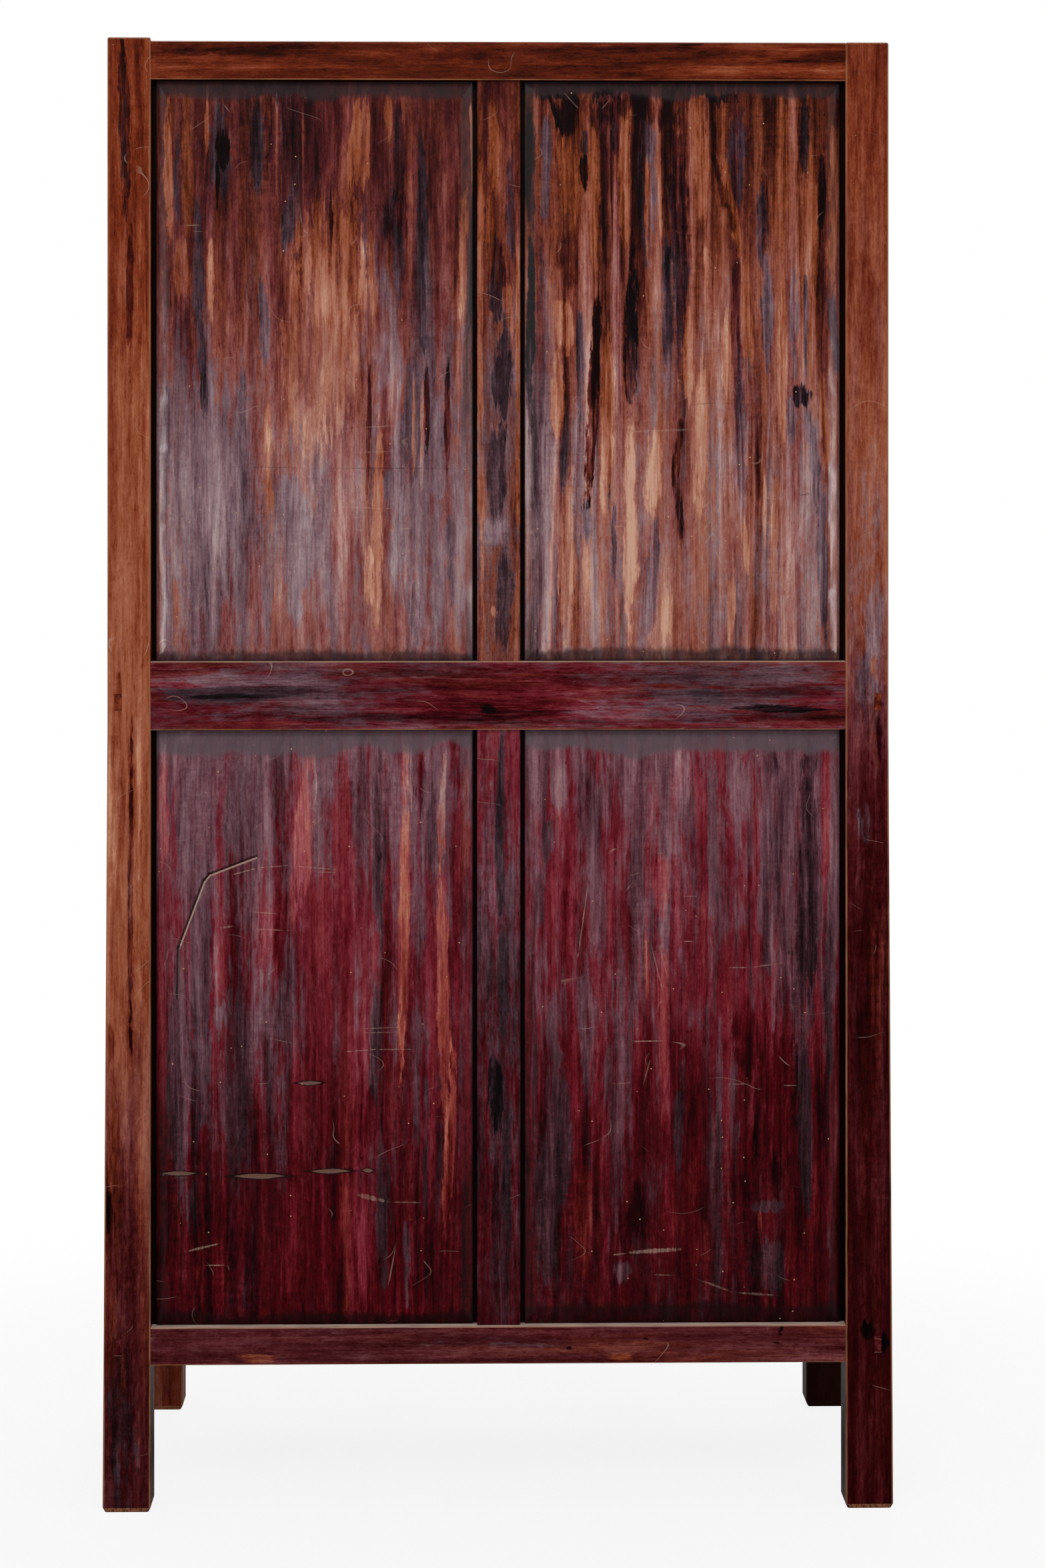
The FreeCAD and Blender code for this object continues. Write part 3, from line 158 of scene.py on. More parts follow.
UPPER_LEFT = (
    (-70, 1786, 29, 11, -21, -60, 80, 4), (-134, 1793, 50, 7, -26, -40, 60),
    (-255, 1790, 50, 10, -26, -40, 80, 5), (-87, 1756, 18, 27, -26, -50, 0, 4),
    (-163, 1764, 76, 19, -19, -10, 0, 2), (-71, 1757, 4, 28, -42, 0, 50, 5, 36),
    (-61, 1697, 9, 69, 5, -30, 65), (-90, 1681, 15, 57, 9, 90, -60, 5), (-108, 1717, 5, 24, -17, -30, 80),
    (-108, 1685, 6, 23, -55, 0, 0, 4), (-122, 1653, 8, 101, 12, 50, -40, 4),
    (-146, 1725, 5, 23, -21, -40, 70, 4), (-161, 1683, 9, 88, 11, 100, -80, 5),
    (-188, 1670, 15, 96, 0, -20, 65), (-188, 1655, 3, 65, 14, 90, -60), (-204, 1649, 3, 55, 15, 90, -50),
    (-226, 1590, 12, 159, -19, -50, 25, 4), (-41, 1494, 6, 130, -47, -20, 30, 4, -1),
    (-42, 1695, 7, 80, -26, -50, 10), (-88, 1582, 17, 46, -15, 0, -20), (-82, 1500, 14, 40, 19, 70, -60, 4),
    (-72, 1406, 9, 50, 17, 80, -50, 4), (-102, 1452, 6, 88, -17, -30, 70, 4),
    (-119, 1400, 8, 128, -61, -20, -60, 6, -5), (-168, 1476, 8, 112, -41, -30, 30, 5, -2),
    (-210, 1511, 7, 80, -15, -30, 60), (-138, 1377, 10, 121, 21, 80, -80, 5, -1),
    (-236, 1451, 8, 64, 19, 100, -80, 4), (-255, 1701, 10, 78, 12, 90, -70, 5, 2),
    (-260, 1555, 3, 48, 22, 100, -30, 3, 2), (-283, 1660, 7, 48, -24, -20, 0, 4, 30),
    (-303, 1439, 8, 180, -13, -40, 15, 5, 2), (-295, 1636, 8, 70, 11, 90, -40, 4, 18),
    (-314, 1500, 8, 69, 9, 80, -20), (-302, 1704, 13, 67, -5, -40, 60), (-333, 1620, 8, 55, -13, -40, 75),
    (-358, 1693, 13, 103, 2, 60, 0, 2), (-387, 1727, 7, 65, -19, -40, 55, 3, -1),
    (-397, 1626, 8, 94, 12, 80, -40, 4, 1), (-407, 1649, 5, 59, -24, -40, 0, 4, 1),
    (-422, 1645, 8, 105, 14, 50, -30, 4), (-339, 1502, 9, 71, 0, -40, 85, 4),
    (-358, 1435, 8, 113, 12, 80, -30), (-373, 1507, 7, 75, -7, -20, 50),
    (-388, 1494, 3, 63, -13, -40, 80, 4), (-423, 1488, 6, 57, -4, -60, 80, 5, 13),
    (-288, 1446, 8, 52, 19, 90, -60, 4, 2), (-257, 1358, 11, 99, 17, 90, -60),
    (-111, 1242, 6, 34, -15, -30, 85, 4), (-142, 1299, 3, 52, -21, -30, 60, 3, -1),
    (-167, 1228, 9, 140, 23, 40, -60, 5), (-195, 1303, 12, 57, 22, 130, -90, 4, -3),
    (-225, 1326, 7, 38, -42, 30, -20, 4, -13), (-226, 1267, 7, 47, -38, -20, 10, 4, 9),
    (-87, 1205, 12, 117, 19, 30, -30, 4, -1), (-81, 1318, 6, 46, -8, -20, 65),
    (-72, 1152, 3, 65, -10, -30, 85, 5, -1), (-56, 1330, 16, 300, -10, -20, 10, 1),
    (-123, 1182, 2, 94, -7, -30, 70), (-147, 1205, 4, 55, -30, -30, 50, 4),
    (-113, 1171, 5, 59, 16, 40, -30, 3, -1), (-192, 1177, 9, 78, -14, -50, 25, 4),
    (-212, 1124, 9, 35, 12, 40, -30), (-335, 1255, 3, 59, 17, 80, -20, 3, 3),
    (-347, 1207, 8, 107, 9, 50, -10, 2, 1), (-370, 1368, 8, 34, -8, -30, 50),
    (-382, 1401, 13, 15, -51, -40, 60, 4), (-397, 1327, 8, 64, -10, -70, 90, 5, 9),
    (-409, 1207, 7, 107, -12, -70, 80, 5, 4), (-412, 1377, 7, 55, 11, 50, -30),
    (-292, 1135, 7, 44, 16, 50, -40, 4), (-310, 1203, 5, 40, 17, 60, -40, 4, 6),
    (-268, 1180, 20, 84, -3, 20, 0, 2, 3),
)
LOWER_RIGHT = (
    (420, 884, 9, 80, 18, 20, -20), (396, 881, 7, 55, -9, 0, 55), (376, 906, 12, 41, 0, 0, 35, 2),
    (371, 662, 12, 165, 0, -10, 75, 3, -1), (314, 884, 35, 74, 2, 0, 55, 1),
    (245, 848, 16, 104, 21, 12, -30, 4, -11), (226, 886, 6, 77, -2, 0, 75, 4, -4),
    (196, 837, 14, 121, 7, 10, -25, 2), (187, 873, 6, 47, -14, 0, 0),
    (152, 832, 9, 126, -14, -10, 80, 4, -2), (157, 601, 7, 104, -11, -10, 55),
    (118, 750, 9, 205, 23, 60, -40, 5, -2), (96, 922, 7, 41, -20, -10, -10), (108, 922, 2, 41, 26, 90, -20),
    (84, 873, 5, 63, -13, 0, 45), (72, 884, 5, 74, 20, 65, -20, 4, -2), (46, 865, 8, 93, 9, 35, -10, 2),
    (71, 640, 9, 200, 19, 50, -40, 4, 1), (64, 465, 8, 120, 23, 55, -40, 5, -4),
    (122, 588, 6, 52, 14, 40, -10), (72, 695, 8, 33, 0, -10, 30, 2), (284, 629, 24, 55, 8, 0, 25, 1),
    (402, 540, 24, 130, -2, 0, 48, 1), (388, 377, 8, 44, -5, 0, 65), (349, 330, 17, 69, -8, 10, -15, 1),
    (377, 302, 12, 41, 2, 20, -40, 1), (262, 339, 17, 82, 6, 10, -25, 1),
    (174, 489, 20, 47, -12, 0, -20, 1), (171, 325, 8, 63, 8, 10, -45), (146, 372, 12, 90, -2, 0, 55),
    (116, 305, 7, 49, 4, 0, 60), (204, 475, 22, 33, 3, 10, -35, 1), (44, 352, 8, 91, -6, 0, 0, 2),
    (92, 470, 4, 126, -9, 0, 40), (155, 601, 8, 38, -3, 0, 55), (347, 623, 11, 16, 8, 0, 45, 2),
    (300, 744, 15, 60, 5, 20, 5, 1), (221, 744, 17, 82, 4, 10, -30, 1), (312, 492, 20, 49, -6, 0, -10, 1),
    (330, 560, 60, 120, 2, 0, 26, 0), (215, 350, 60, 100, 4, 5, -40, 0), (355, 300, 24, 60, 8, 20, -50, 1),
)
LOWER_LEFT = (
    (-48, 909, 10, 39, 0, 0, 35, 1), (-76, 911, 13, 30, 5, 0, 35, 1), (-61, 840, 9, 30, -8, 0, 70),
    (-50, 775, 9, 41, -14, 0, 50, 2), (-70, 769, 5, 41, 6, 15, -40), (-87, 758, 11, 25, -11, 0, 0, 1),
    (-113, 876, 14, 66, 4, 0, 42, 1), (-144, 878, 11, 52, -8, 0, -10, 1), (-176, 804, 13, 77, 3, 0, 35, 1),
    (-199, 889, 9, 63, 9, 15, -10, 2), (-207, 782, 11, 44, 9, 20, -40), (-233, 920, 14, 39, 14, 20, 0, 1),
    (-252, 873, 10, 63, 10, 15, -15, 2), (-270, 843, 8, 115, 0, -10, 80, 4),
    (-302, 892, 17, 66, 10, 0, 32, 1), (-347, 939, 9, 19, -16, 0, 40), (-342, 840, 14, 68, 3, 0, 42, 1),
    (-415, 887, 6, 60, 7, 0, -20, 2), (-424, 782, 7, 176, -4, 0, 58), (-418, 650, 6, 122, -16, -20, 85, 5),
    (-340, 703, 8, 41, 3, 0, 95, 4), (-256, 695, 5, 88, 12, 35, -30), (-188, 681, 3, 47, 14, 60, -20),
    (-209, 600, 7, 109, 12, 14, -30, 4, -2), (-113, 591, 16, 93, 4, 0, 34, 1), (-70, 580, 7, 60, -2, 0, 60),
    (-79, 477, 13, 96, -4, -10, 75, 5, 1), (-106, 366, 15, 70, 9, 30, -70, 2),
    (-147, 552, 17, 110, 3, 0, 32, 1), (-171, 366, 20, 44, -15, 0, -20, 1), (-226, 465, 8, 55, 0, 0, 60),
    (-251, 412, 12, 41, 6, 15, -60, 1), (-260, 319, 9, 41, 11, 20, -10, 2), (-278, 511, 4, 96, 4, 0, 38, 2),
    (-312, 585, 22, 49, -15, 0, -20, 1), (-317, 437, 17, 49, -6, 10, -50, 1),
    (-353, 421, 14, 33, -16, 0, -10, 2), (-341, 379, 24, 8, 2, 0, 80, 4),
    (-330, 364, 3, 19, 24, 100, -30, 4), (-369, 319, 9, 41, 5, 20, -50, 2),
    (-399, 393, 7, 49, 8, 10, -30, 2), (-155, 298, 13, 14, 14, 0, 80, 2), (-343, 303, 26, 36, 2, 0, 55),
    (-392, 800, 14, 170, -17, -20, 115, 6, -1), (-385, 488, 10, 122, -13, -20, 105, 5, 1),
    (-62, 364, 22, 96, 2, 0, 45, 2), (-334, 760, 11, 75, 2, -10, 50, 2), (-217, 380, 13, 56, 8, 20, -60),
    (-349, 503, 32, 108, -16, 0, -30, 1), (-200, 662, 5, 60, 12, 35, -40, 4, -3),
    (-411, 860, 4, 110, 12, 20, -40), (-370, 790, 52, 180, -7, -5, 14, 0),
)
MULLION_UPPER = (
    (22, 1430, 5, 350, 12, 80, -30, 4), (-22, 1380, 4, 330, 10, 70, -25), (9, 1716, 7, 60, 13, 80, -20),
    (-14, 1641, 9, 75, -10, -40, 40, 4), (4, 1553, 11, 56, -22, -50, 20, 6),
    (-6, 1437, 13, 64, -20, -50, 35, 6), (2, 1309, 13, 66, -22, -50, 30, 6), (3, 1228, 20, 20, 14, 0, 45),
    (-5, 1148, 12, 60, -16, -40, 20, 4), (6, 1129, 4, 8, 22, 100, -20, 5), (-12, 1500, 5, 40, 10, 60, -20),
    (12, 1610, 5, 60, 12, 80, -20, 3, 2),
)
MULLION_LOWER = (
    (9, 853, 8, 126, 6, 0, 0, 2), (-3, 853, 7, 126, -16, -40, 60, 4), (-6, 660, 8, 71, -4, -50, 90, 4),
    (-16, 781, 5, 189, 4, 0, 0, 2), (5, 517, 10, 50, -34, -40, 40, 4), (15, 425, 5, 168, 6, 0, -20, 2),
    (-9, 400, 7, 143, -12, -20, 25, 2), (5, 358, 6, 101, -10, 0, 0, 2),
)
POST_RIGHT = (
    (470, 1738, 7, 114, -28, -30, 40, 4), (464, 1527, 5, 96, -22, -30, 20),
    (486, 1642, 4, 211, -6, 0, 0, 2), (477, 1398, 8, 335, 6, 10, 0, 1), (459, 777, 4, 218, -32, -40, 20),
    (488, 802, 5, 159, 12, 20, -10, 2), (449, 1121, 3, 310, 14, 30, 0), (491, 379, 10, 29, -34, 0, 0),
    (487, 590, 7, 23, -25, 0, 0, 2), (475, 358, 25, 117, -12, 0, 0, 1), (471, 116, 25, 116, -14, 0, 25, 1),
    (477, 1033, 5, 21, -20, 0, 0),
)
POST_LEFT = (
    (-465, 1263, 20, 101, 6, -10, 15, 1), (-474, 1119, 15, 57, 6, -30, 25, 2),
    (-465, 1022, 22, 52, -10, -30, 20, 2), (-459, 867, 12, 27, 0, -30, 45, 2),
    (-479, 970, 4, 34, -30, 0, 0), (-463, 225, 11, 11, -40, 0, 0), (-484, 207, 8, 14, -40, 0, 0),
    (-465, 651, 22, 176, -6, 0, 0, 1), (-453, 609, 3, 352, 8, 0, 20, 2), (-484, 534, 3, 277, 6, 0, 20, 2),
)
TOP_RAIL = (
    (316, 1835, 109, 10, -14, -20, 0, 2), (13, 1819, 143, 7, 8, 30, 0, 2, 1),
    (291, 1813, 134, 5, 6, 20, 0, 3, 1), (-260, 1835, 172, 7, -4, -20, 10, 2, 1),
    (13, 1825, 25, 8, -10, 0, 0, 2), (-314, 1812, 118, 7, 10, 30, 0, 2, 1), (-243, 1845, 21, 4, -25, 0, 0),
)
MIDDLE_RAIL = (
    (330, 1026, 98, 10, -6, -40, 85), (337, 1024, 72, 4, -22, -30, 55, 4, 1),
    (253, 1027, 21, 8, 0, -40, 60, 3, 8), (-264, 1024, 21, 14, -4, -50, 85, 4),
    (-354, 1008, 69, 5, -38, -30, 20, 4, 1), (307, 1044, 118, 8, 8, 10, 10, 2, 1),
    (13, 1052, 143, 7, -6, 0, 0, 1, 1), (-12, 999, 202, 7, -8, 0, 0, 2),
    (15, 1008, 11, 7, -30, -20, 20, 3, 15), (-358, 1050, 74, 12, 4, 0, 20, 1),
    (0, 1024, 130, 40, -10, 0, -14, 0), (300, 1030, 120, 40, 4, 0, 16, 0),
    (-300, 1024, 130, 40, 1, 0, 20, 0),
)
BOTTOM_RAIL = (
    (307, 193, 26, 6, 10, 70, 0, 2, 3), (-152, 193, 18, 6, 8, 70, 0, 2), (316, 218, 109, 7, 4, 0, 0, 1, 1),
    (-3, 209, 126, 10, -6, 0, 10, 1, 1), (-182, 215, 5, 4, -35, 0, 0, 3, 17),
    (-348, 209, 5, 3, -30, 0, 0, 3, 8), (-87, 203, 3, 3, -30, 0, 0), (-356, 224, 3, 8, -40, 0, 0, 3, 50),
)

# Scratches in millimetres: (x, z, x, z, tenths of half width, amount), dark below 0
UPPER_RIGHT_LINES = (
    (333, 1312, 232, 1310, 8, -35), (232, 1310, 39, 1310, 9, -45), (207, 1262, 144, 1259, 9, 40),
    (144, 1259, 133, 1260, 8, 25), (181, 1232, 169, 1232, 8, 40), (139, 1232, 127, 1231, 8, 40),
    (126, 1234, 110, 1234, 8, 40), (211, 1351, 177, 1361, 8, 25), (177, 1361, 123, 1364, 8, 25),
    (211, 1322, 190, 1329, 8, 22), (190, 1329, 123, 1332, 8, 20), (250, 1634, 247, 1611, 8, 35),
    (247, 1611, 240, 1605, 8, 35), (207, 1431, 209, 1389, 9, 35), (347, 1769, 337, 1756, 6, 30),
)
UPPER_LEFT_LINES = (
    (-164, 1356, -248, 1359, 18, 24), (-142, 1237, -165, 1237, 8, 45), (-150, 1244, -176, 1246, 8, 25),
    (-242, 1390, -279, 1393, 9, -45), (-377, 1275, -396, 1279, 9, -50), (-270, 1270, -255, 1258, 8, 35),
    (-270, 1247, -257, 1230, 9, 35), (-270, 1247, -289, 1211, 9, 30), (-271, 1230, -259, 1213, 8, 35),
    (-271, 1211, -286, 1180, 9, 40), (-81, 1785, -101, 1763, 8, 25), (-41, 1233, -42, 1225, 25, 35),
    (-264, 1507, -265, 1456, 8, 35), (-230, 1394, -245, 1406, 6, 20),
)
LOWER_RIGHT_LINES = (
    (337, 798, 303, 807, 9, 50), (303, 807, 265, 810, 9, 40), (265, 810, 197, 804, 8, 30),
    (316, 752, 277, 749, 9, 35), (316, 730, 257, 728, 9, 30), (196, 575, 156, 578, 9, 45),
    (156, 578, 103, 578, 8, 30), (176, 604, 125, 606, 7, 28), (173, 599, 125, 600, 7, 28),
    (181, 396, 139, 386, 34, 32), (139, 386, 94, 385, 12, 25), (396, 324, 349, 335, 16, 42),
    (372, 307, 341, 307, 9, 40), (341, 307, 339, 301, 8, 25), (128, 339, 139, 281, 9, 40),
    (424, 672, 415, 706, 12, 25), (354, 731, 333, 734, 16, 30), (291, 672, 278, 683, 9, 35),
    (291, 593, 250, 584, 8, 20), (235, 802, 202, 801, 9, 30),
)
LOWER_LEFT_LINES = (
    (-113, 789, -101, 700, 10, 48), (-101, 700, -99, 693, 10, 30), (-139, 827, -150, 831, 14, 35),
    (-136, 824, -144, 827, 9, 25), (-142, 318, -163, 320, 12, 40), (-163, 321, -232, 325, 34, 42),
    (-160, 587, -213, 588, 9, 45), (-192, 293, -222, 292, 9, 22), (-251, 287, -297, 270, 16, 22),
    (-297, 270, -353, 266, 16, 25), (-186, 731, -187, 651, 10, 45), (-192, 710, -209, 643, 8, 40),
    (-201, 714, -213, 668, 8, 35), (-289, 680, -318, 680, 9, 40), (-318, 680, -360, 686, 9, 28),
    (-230, 770, -251, 770, 9, 30), (-230, 713, -247, 713, 9, 35), (-192, 567, -180, 525, 10, 28),
    (-142, 534, -171, 535, 9, 25), (-289, 533, -316, 533, 9, 28), (-358, 531, -377, 531, 9, 28),
    (-166, 796, -180, 801, 9, 25), (-159, 775, -170, 789, 8, 25),
)

# Long gouges across the lower panel: (x, z, half length, half height, depth)
GOUGES = (
    (402, 423, 25, 3.4, 1.2), (301, 419, 38, 4.0, 1.6), (212, 425, 29, 3.6, 1.4),
    (165, 426, 8, 3.2, 1.0), (238, 536, 18, 3.2, 1.4),
)
# A deep scratch that bends, as corner points in millimetres, with its depth and half width. Its
# light edge lies a little aside, is strong on the first stretches and faint on the others.
BENT_SCRATCH = ((306, 821), (364, 799), (371, 791), (403, 707), (404, 644))
SCRATCH_DEPTH, SCRATCH_HALF_WIDTH = 0.9, 3.2
SCRATCH_LIGHT_SHIFT = (-1.2, -1.4)
SCRATCH_STRONG, SCRATCH_STRONG_STRETCHES, SCRATCH_FAINT = 0.7, 3, 0.15

# Noises of the lacquer: millimetres across and along the grain, shift of the seed, octaves,
# roughness, and whether the noise follows the bends of the grain
NOISES = {
    "bend": (70, 420, 1.3, 2, 0.5, False), "jag": (5, 45, 2.1, 3, 0.5, False),
    "reach": (16, 240, 2.9, 4, 0.65, False), "fine": (2.4, 60, 5.1, 3, 0.6, True),
    "ragged": (8, 50, 6.3, 4, 0.75, True), "strands": (6, 110, 14.9, 4, 0.65, True),
    "fine_speckle": (1.9, 4.5, 9.1, 2, 0.6, False), "mottle": (5, 18, 9.9, 3, 0.65, True),
    "blotch": (26, 75, 11.7, 3, 0.6, False), "ripple": (26, 5, 8.9, 3, 0.6, True),
    "clouds": (110, 260, 16.3, 3, 0.6, False), "lively": (90, 220, 7.7, 2, 0.5, False),
    "fleck": (2.2, 15, 13.1, 2, 0.6, True), "pore": (0.9, 16, 12.3, 2, 0.6, False),
    "fingers": (17, 40, 17, 4, 0.62, False), "slow": (80, 200, 19, 2, 0.5, False),
    "rubbed": (5, 45, 23, 3, 0.6, False),
}
# What the finer noises add to the tone, as shares of their swing
# In the lacquer, the fine speckle's share stands for painted glints of light on the pores.
TONE_SHARES = {"fine": 0.24, "ripple": 0.22, "fine_speckle": 0.24, "mottle": 0.3, "blotch": 0.24}
FLECK_SHARE = 0.12
# Streaks: millimetres across, length beside the wood's own, shift of the seed
TONE_STREAKS, WARM_STREAKS, BLOOM_AND_SHEEN_STREAKS = (15, 1.0, 6.7), (20, 1.3, 10.9), (12, 0.8, 12.7)
WARM_SWING = 2.0

# How far, in millimetres, the bends of the grain push the outlines of long marks and of close ones
BEND_PUSH, JAG_PUSH = 18, 3.5
CLOSE_JAG_PUSH, CLOSE_REACH_PUSH, CLOSE_JAG_RISE = 7, 25, 9
RAGGED_PUSH = 3.4
# Marks whose half length is below this are close ones
CLOSE_LENGTH = 40
# Share of a mark's half length at which it has faded, and its solid core, least and per tenth
MARK_FADE, LEAST_CORE, CORE_STEP = 0.92, 0.2, 1 / 16
MARKS_IN_GROUP = 10

# Where the back's colours change, in millimetres: y of the channel round a panel, near-black with
# painted shade, and of the bare inner face, x of a frame's inner side and y where that side begins
CHANNEL_PLANE, BARE_PLANE = (244.6, 242.6), (236.5, 235.5)
INNER_SIDE, SIDE_START = (486, 482), (216, 224)
# Planes y in front of which the rails, the mullions and the posts are plain; deeper in, their inner sides get
# painted shade where they meet the panels
RAIL_SHADE_PLANE, MULLION_SHADE_PLANE, POST_SHADE_PLANE = 255, 248, 256.5
# Heights between which a front foot gets painted shadow, in millimetres
FOOT_SHADE = (300, 160)
# Ragged bands over a panel's end bevels, partly grey wax and dirt and partly painted reflection
# and shade: how far the fingers and the slow stray push their edge, in millimetres, and how far it
# fades outward and inward
FINGER_PUSH, STRAY_PUSH, BAND_OUTWARD, BAND_INWARD = 18, 1.6, 5, 4


class Signal:
    """A number that leaves a node, so that shader sums can be written as expressions."""

    def __init__(self, graph, socket):
        self.graph = graph
        self.socket = socket

    def __add__(self, other):
        return self.graph.math("ADD", self, other)

    def __sub__(self, other):
        return self.graph.math("SUBTRACT", self, other)

    def __rsub__(self, other):
        return self.graph.math("SUBTRACT", other, self)

    def __mul__(self, other):
        return self.graph.math("MULTIPLY", self, other)

    def __truediv__(self, other):
        return self.graph.math("DIVIDE", self, other)

    def __abs__(self):
        return self.graph.math("ABSOLUTE", self)

    __radd__ = __add__
    __rmul__ = __mul__


class Graph:
    """Builds a tree of shader nodes, with sums of signals written as expressions."""

    def __init__(self, tree):
        self.tree = tree
        tree.nodes.clear()

    def node(self, kind, settings=None, sockets=None):
        """Adds a node, applies its settings, then gives its sockets their values or links."""
        made = self.tree.nodes.new(kind)
        for name, value in (settings or {}).items():
            if name == "stops":
                self.set_stops(made.color_ramp, value)
            else:
                setattr(made, name, value)
        for name, value in (sockets or {}).items():
            value = value.socket if isinstance(value, Signal) else value
            if isinstance(value, bpy.types.NodeSocket):
                self.tree.links.new(value, made.inputs[name])
            else:
                made.inputs[name].default_value = value
        return made

    def set_stops(self, ramp, stops):
        """Gives a colour ramp its stops, each a place and a screen colour."""
        while len(ramp.elements) < len(stops):
            ramp.elements.new(1.0)
        for element, (position, colour) in zip(ramp.elements, stops):
            element.position = position
            element.color = colour if len(colour) == 4 else linear(*colour)

    def math(self, operation, *values):
        """Signal of a Math node."""
        made = self.node("ShaderNodeMath", {"operation": operation}, dict(enumerate(values)))
        return Signal(self, made.outputs[0])

    def vector(self, operation, *values, scale=None):
        """Socket of a Vector Math node."""
        sockets = dict(enumerate(values))
        if scale is not None:
            sockets["Scale"] = scale
        return self.node("ShaderNodeVectorMath", {"operation": operation}, sockets).outputs["Vector"]

    def dot(self, first, second):
        """Signal of the dot product of two vectors."""
        made = self.node("ShaderNodeVectorMath", {"operation": "DOT_PRODUCT"}, {0: first, 1: second})
        return Signal(self, made.outputs["Value"])

    def split(self, vector):
        """The three signals of a vector."""
        made = self.node("ShaderNodeSeparateXYZ", None, {"Vector": vector})
        return [Signal(self, socket) for socket in made.outputs]

    def joined(self, x, y, z):
        """A vector of three signals."""
        return self.node("ShaderNodeCombineXYZ", None, {"X": x, "Y": y, "Z": z}).outputs["Vector"]

    def ease(self, value, start, end, low=0.0, high=1.0):
        """Goes smoothly from low to high while the value goes from start to end."""
        sockets = {"Value": value, "From Min": start, "From Max": end, "To Min": low, "To Max": high}
        made = self.node("ShaderNodeMapRange", {"interpolation_type": "SMOOTHSTEP", "clamp": False}, sockets)
        return Signal(self, made.outputs["Result"])

    def clamp(self, value):
        """The value held between 0 and 1."""
        made = self.node("ShaderNodeClamp", None, {"Value": value})
        return Signal(self, made.outputs[0])


def heading(start, end):
    """Length of a straight line and its direction in x and z."""
    length = math.dist(start, end)
    return length, (end[0] - start[0]) / length, (end[1] - start[1]) / length


class Finish(Graph):
    """One material, built node by node around the place on the piece in millimetres."""

    def __init__(self, name):
        self.material = bpy.data.materials.new(name)
        self.material.use_nodes = True
        super().__init__(self.material.node_tree)
        self.output = self.node("ShaderNodeOutputMaterial")
        coordinates = self.node("ShaderNodeTexCoord")
        self.facing = coordinates.outputs["Normal"]
        self.place = self.vector("SCALE", coordinates.outputs["Object"], scale=per_metre)
        self.x, self.y, self.z = self.split(self.place)

    def noise(self, spread, seed, detail=1.0, roughness=0.5, place=None):
        """Noise from 0 to 1 whose blobs are about as long as the spread, per axis."""
        shares = [1 / length for length in spread]
        shift = (seed, seed * 1.7, seed * 0.3)
        scaled = self.vector("MULTIPLY_ADD", place or self.place, shares, shift)
        sockets = {"Vector": scaled, "Scale": 1.0, "Detail": detail, "Roughness": roughness}
        return Signal(self, self.node("ShaderNodeTexNoise", None, sockets).outputs[0])

    def cells(self, spread, seed):
        """Distance to the nearest of scattered points, and a random number of each point."""
        scaled = self.vector("MULTIPLY_ADD", self.place, (1 / spread,) * 3, (seed,) * 3)
        made = self.node("ShaderNodeTexVoronoi", None, {"Vector": scaled, "Scale": 1.0})
        return Signal(self, made.outputs["Distance"]), self.split(made.outputs["Color"])[0]

    def ramp(self, value, stops):
        """Colour of a ramp at a value."""
        return self.node("ShaderNodeValToRGB", {"stops": stops}, {"Fac": value}).outputs["Color"]

    def mix(self, share, under, over):
        """Colour that goes from one to the other with the share. Either may be a screen colour."""
        under, over = (linear(*c) if isinstance(c, tuple) else c for c in (under, over))
        return self.node("ShaderNodeMix", {"data_type": "RGBA"}, {0: share, 6: under, 7: over}).outputs[2]

    def stroke(self, start, end, half_width):
        """1 along a straight stroke in x and z, falling to 0 at its half width."""
        x0, z0 = start
        length, dx, dz = heading(start, end)
        along = self.math("MULTIPLY_ADD", self.x, dx, self.z * dz) - (x0 * dx + z0 * dz)
        beyond = self.math("MAXIMUM", along * -1, along - length)
        aside = self.math("MULTIPLY_ADD", self.x, -dz, self.z * dx) - (z0 * dx - x0 * dz)
        reach = self.math("MAXIMUM", abs(aside), beyond)
        return self.ease(reach, half_width, half_width * 0.3)

    def done(self, colour, roughness, height=None, bump=0.4, metallic=0.0, coat=0.0, gloss=0.25):
        """Joins the colour, roughness and bump to the shader and returns the material."""
        sockets = {
            "Base Color": colour, "Roughness": roughness, "Metallic": metallic,
            "Coat Weight": coat, "Coat Roughness": 0.16, "Specular IOR Level": gloss,
        }
        if height is not None:
            raised = {"Strength": bump, "Distance": mm, "Height": height}
            sockets["Normal"] = self.node("ShaderNodeBump", None, raised).outputs["Normal"]
        shader = self.node("ShaderNodeBsdfPrincipled", None, sockets)
        self.tree.links.new(shader.outputs[0], self.output.inputs["Surface"])
        return self.material


def marks_group(name, rows):
    """Node group that adds a few oval marks to a vector of three sums.

    Each row is the place that the mark is drawn on, its factors across and along, its core and its
    three amounts. The distances across and along, as shares of the half sizes, are products of the
    place and the factors. A mark falls to 0 where the sum of their squares and of the raggedness
    comes to 1.
    """
    tree = bpy.data.node_groups.new(name, "ShaderNodeTree")
    for label in ("Flow", "Close", "Plain", "Sums"):
        tree.interface.new_socket(label, in_out="INPUT", socket_type="NodeSocketVector")
    tree.interface.new_socket("Ragged", in_out="INPUT", socket_type="NodeSocketFloat")
    tree.interface.new_socket("Sums", in_out="OUTPUT", socket_type="NodeSocketVector")
    g = Graph(tree)
    given = g.node("NodeGroupInput").outputs
    sums = given["Sums"]
    for place, across, along, core, amounts in rows:
        side, rise = g.dot(given[place], across), g.dot(given[place], along)
        reach = g.math("MULTIPLY_ADD", side, side, g.math("MULTIPLY_ADD", rise, rise, given["Ragged"]))
        share = g.ease(reach, 1.0, core)
        sums = g.vector("ADD", g.vector("SCALE", amounts, scale=share), sums)
    g.node("NodeGroupOutput", None, {"Sums": sums})
    return tree


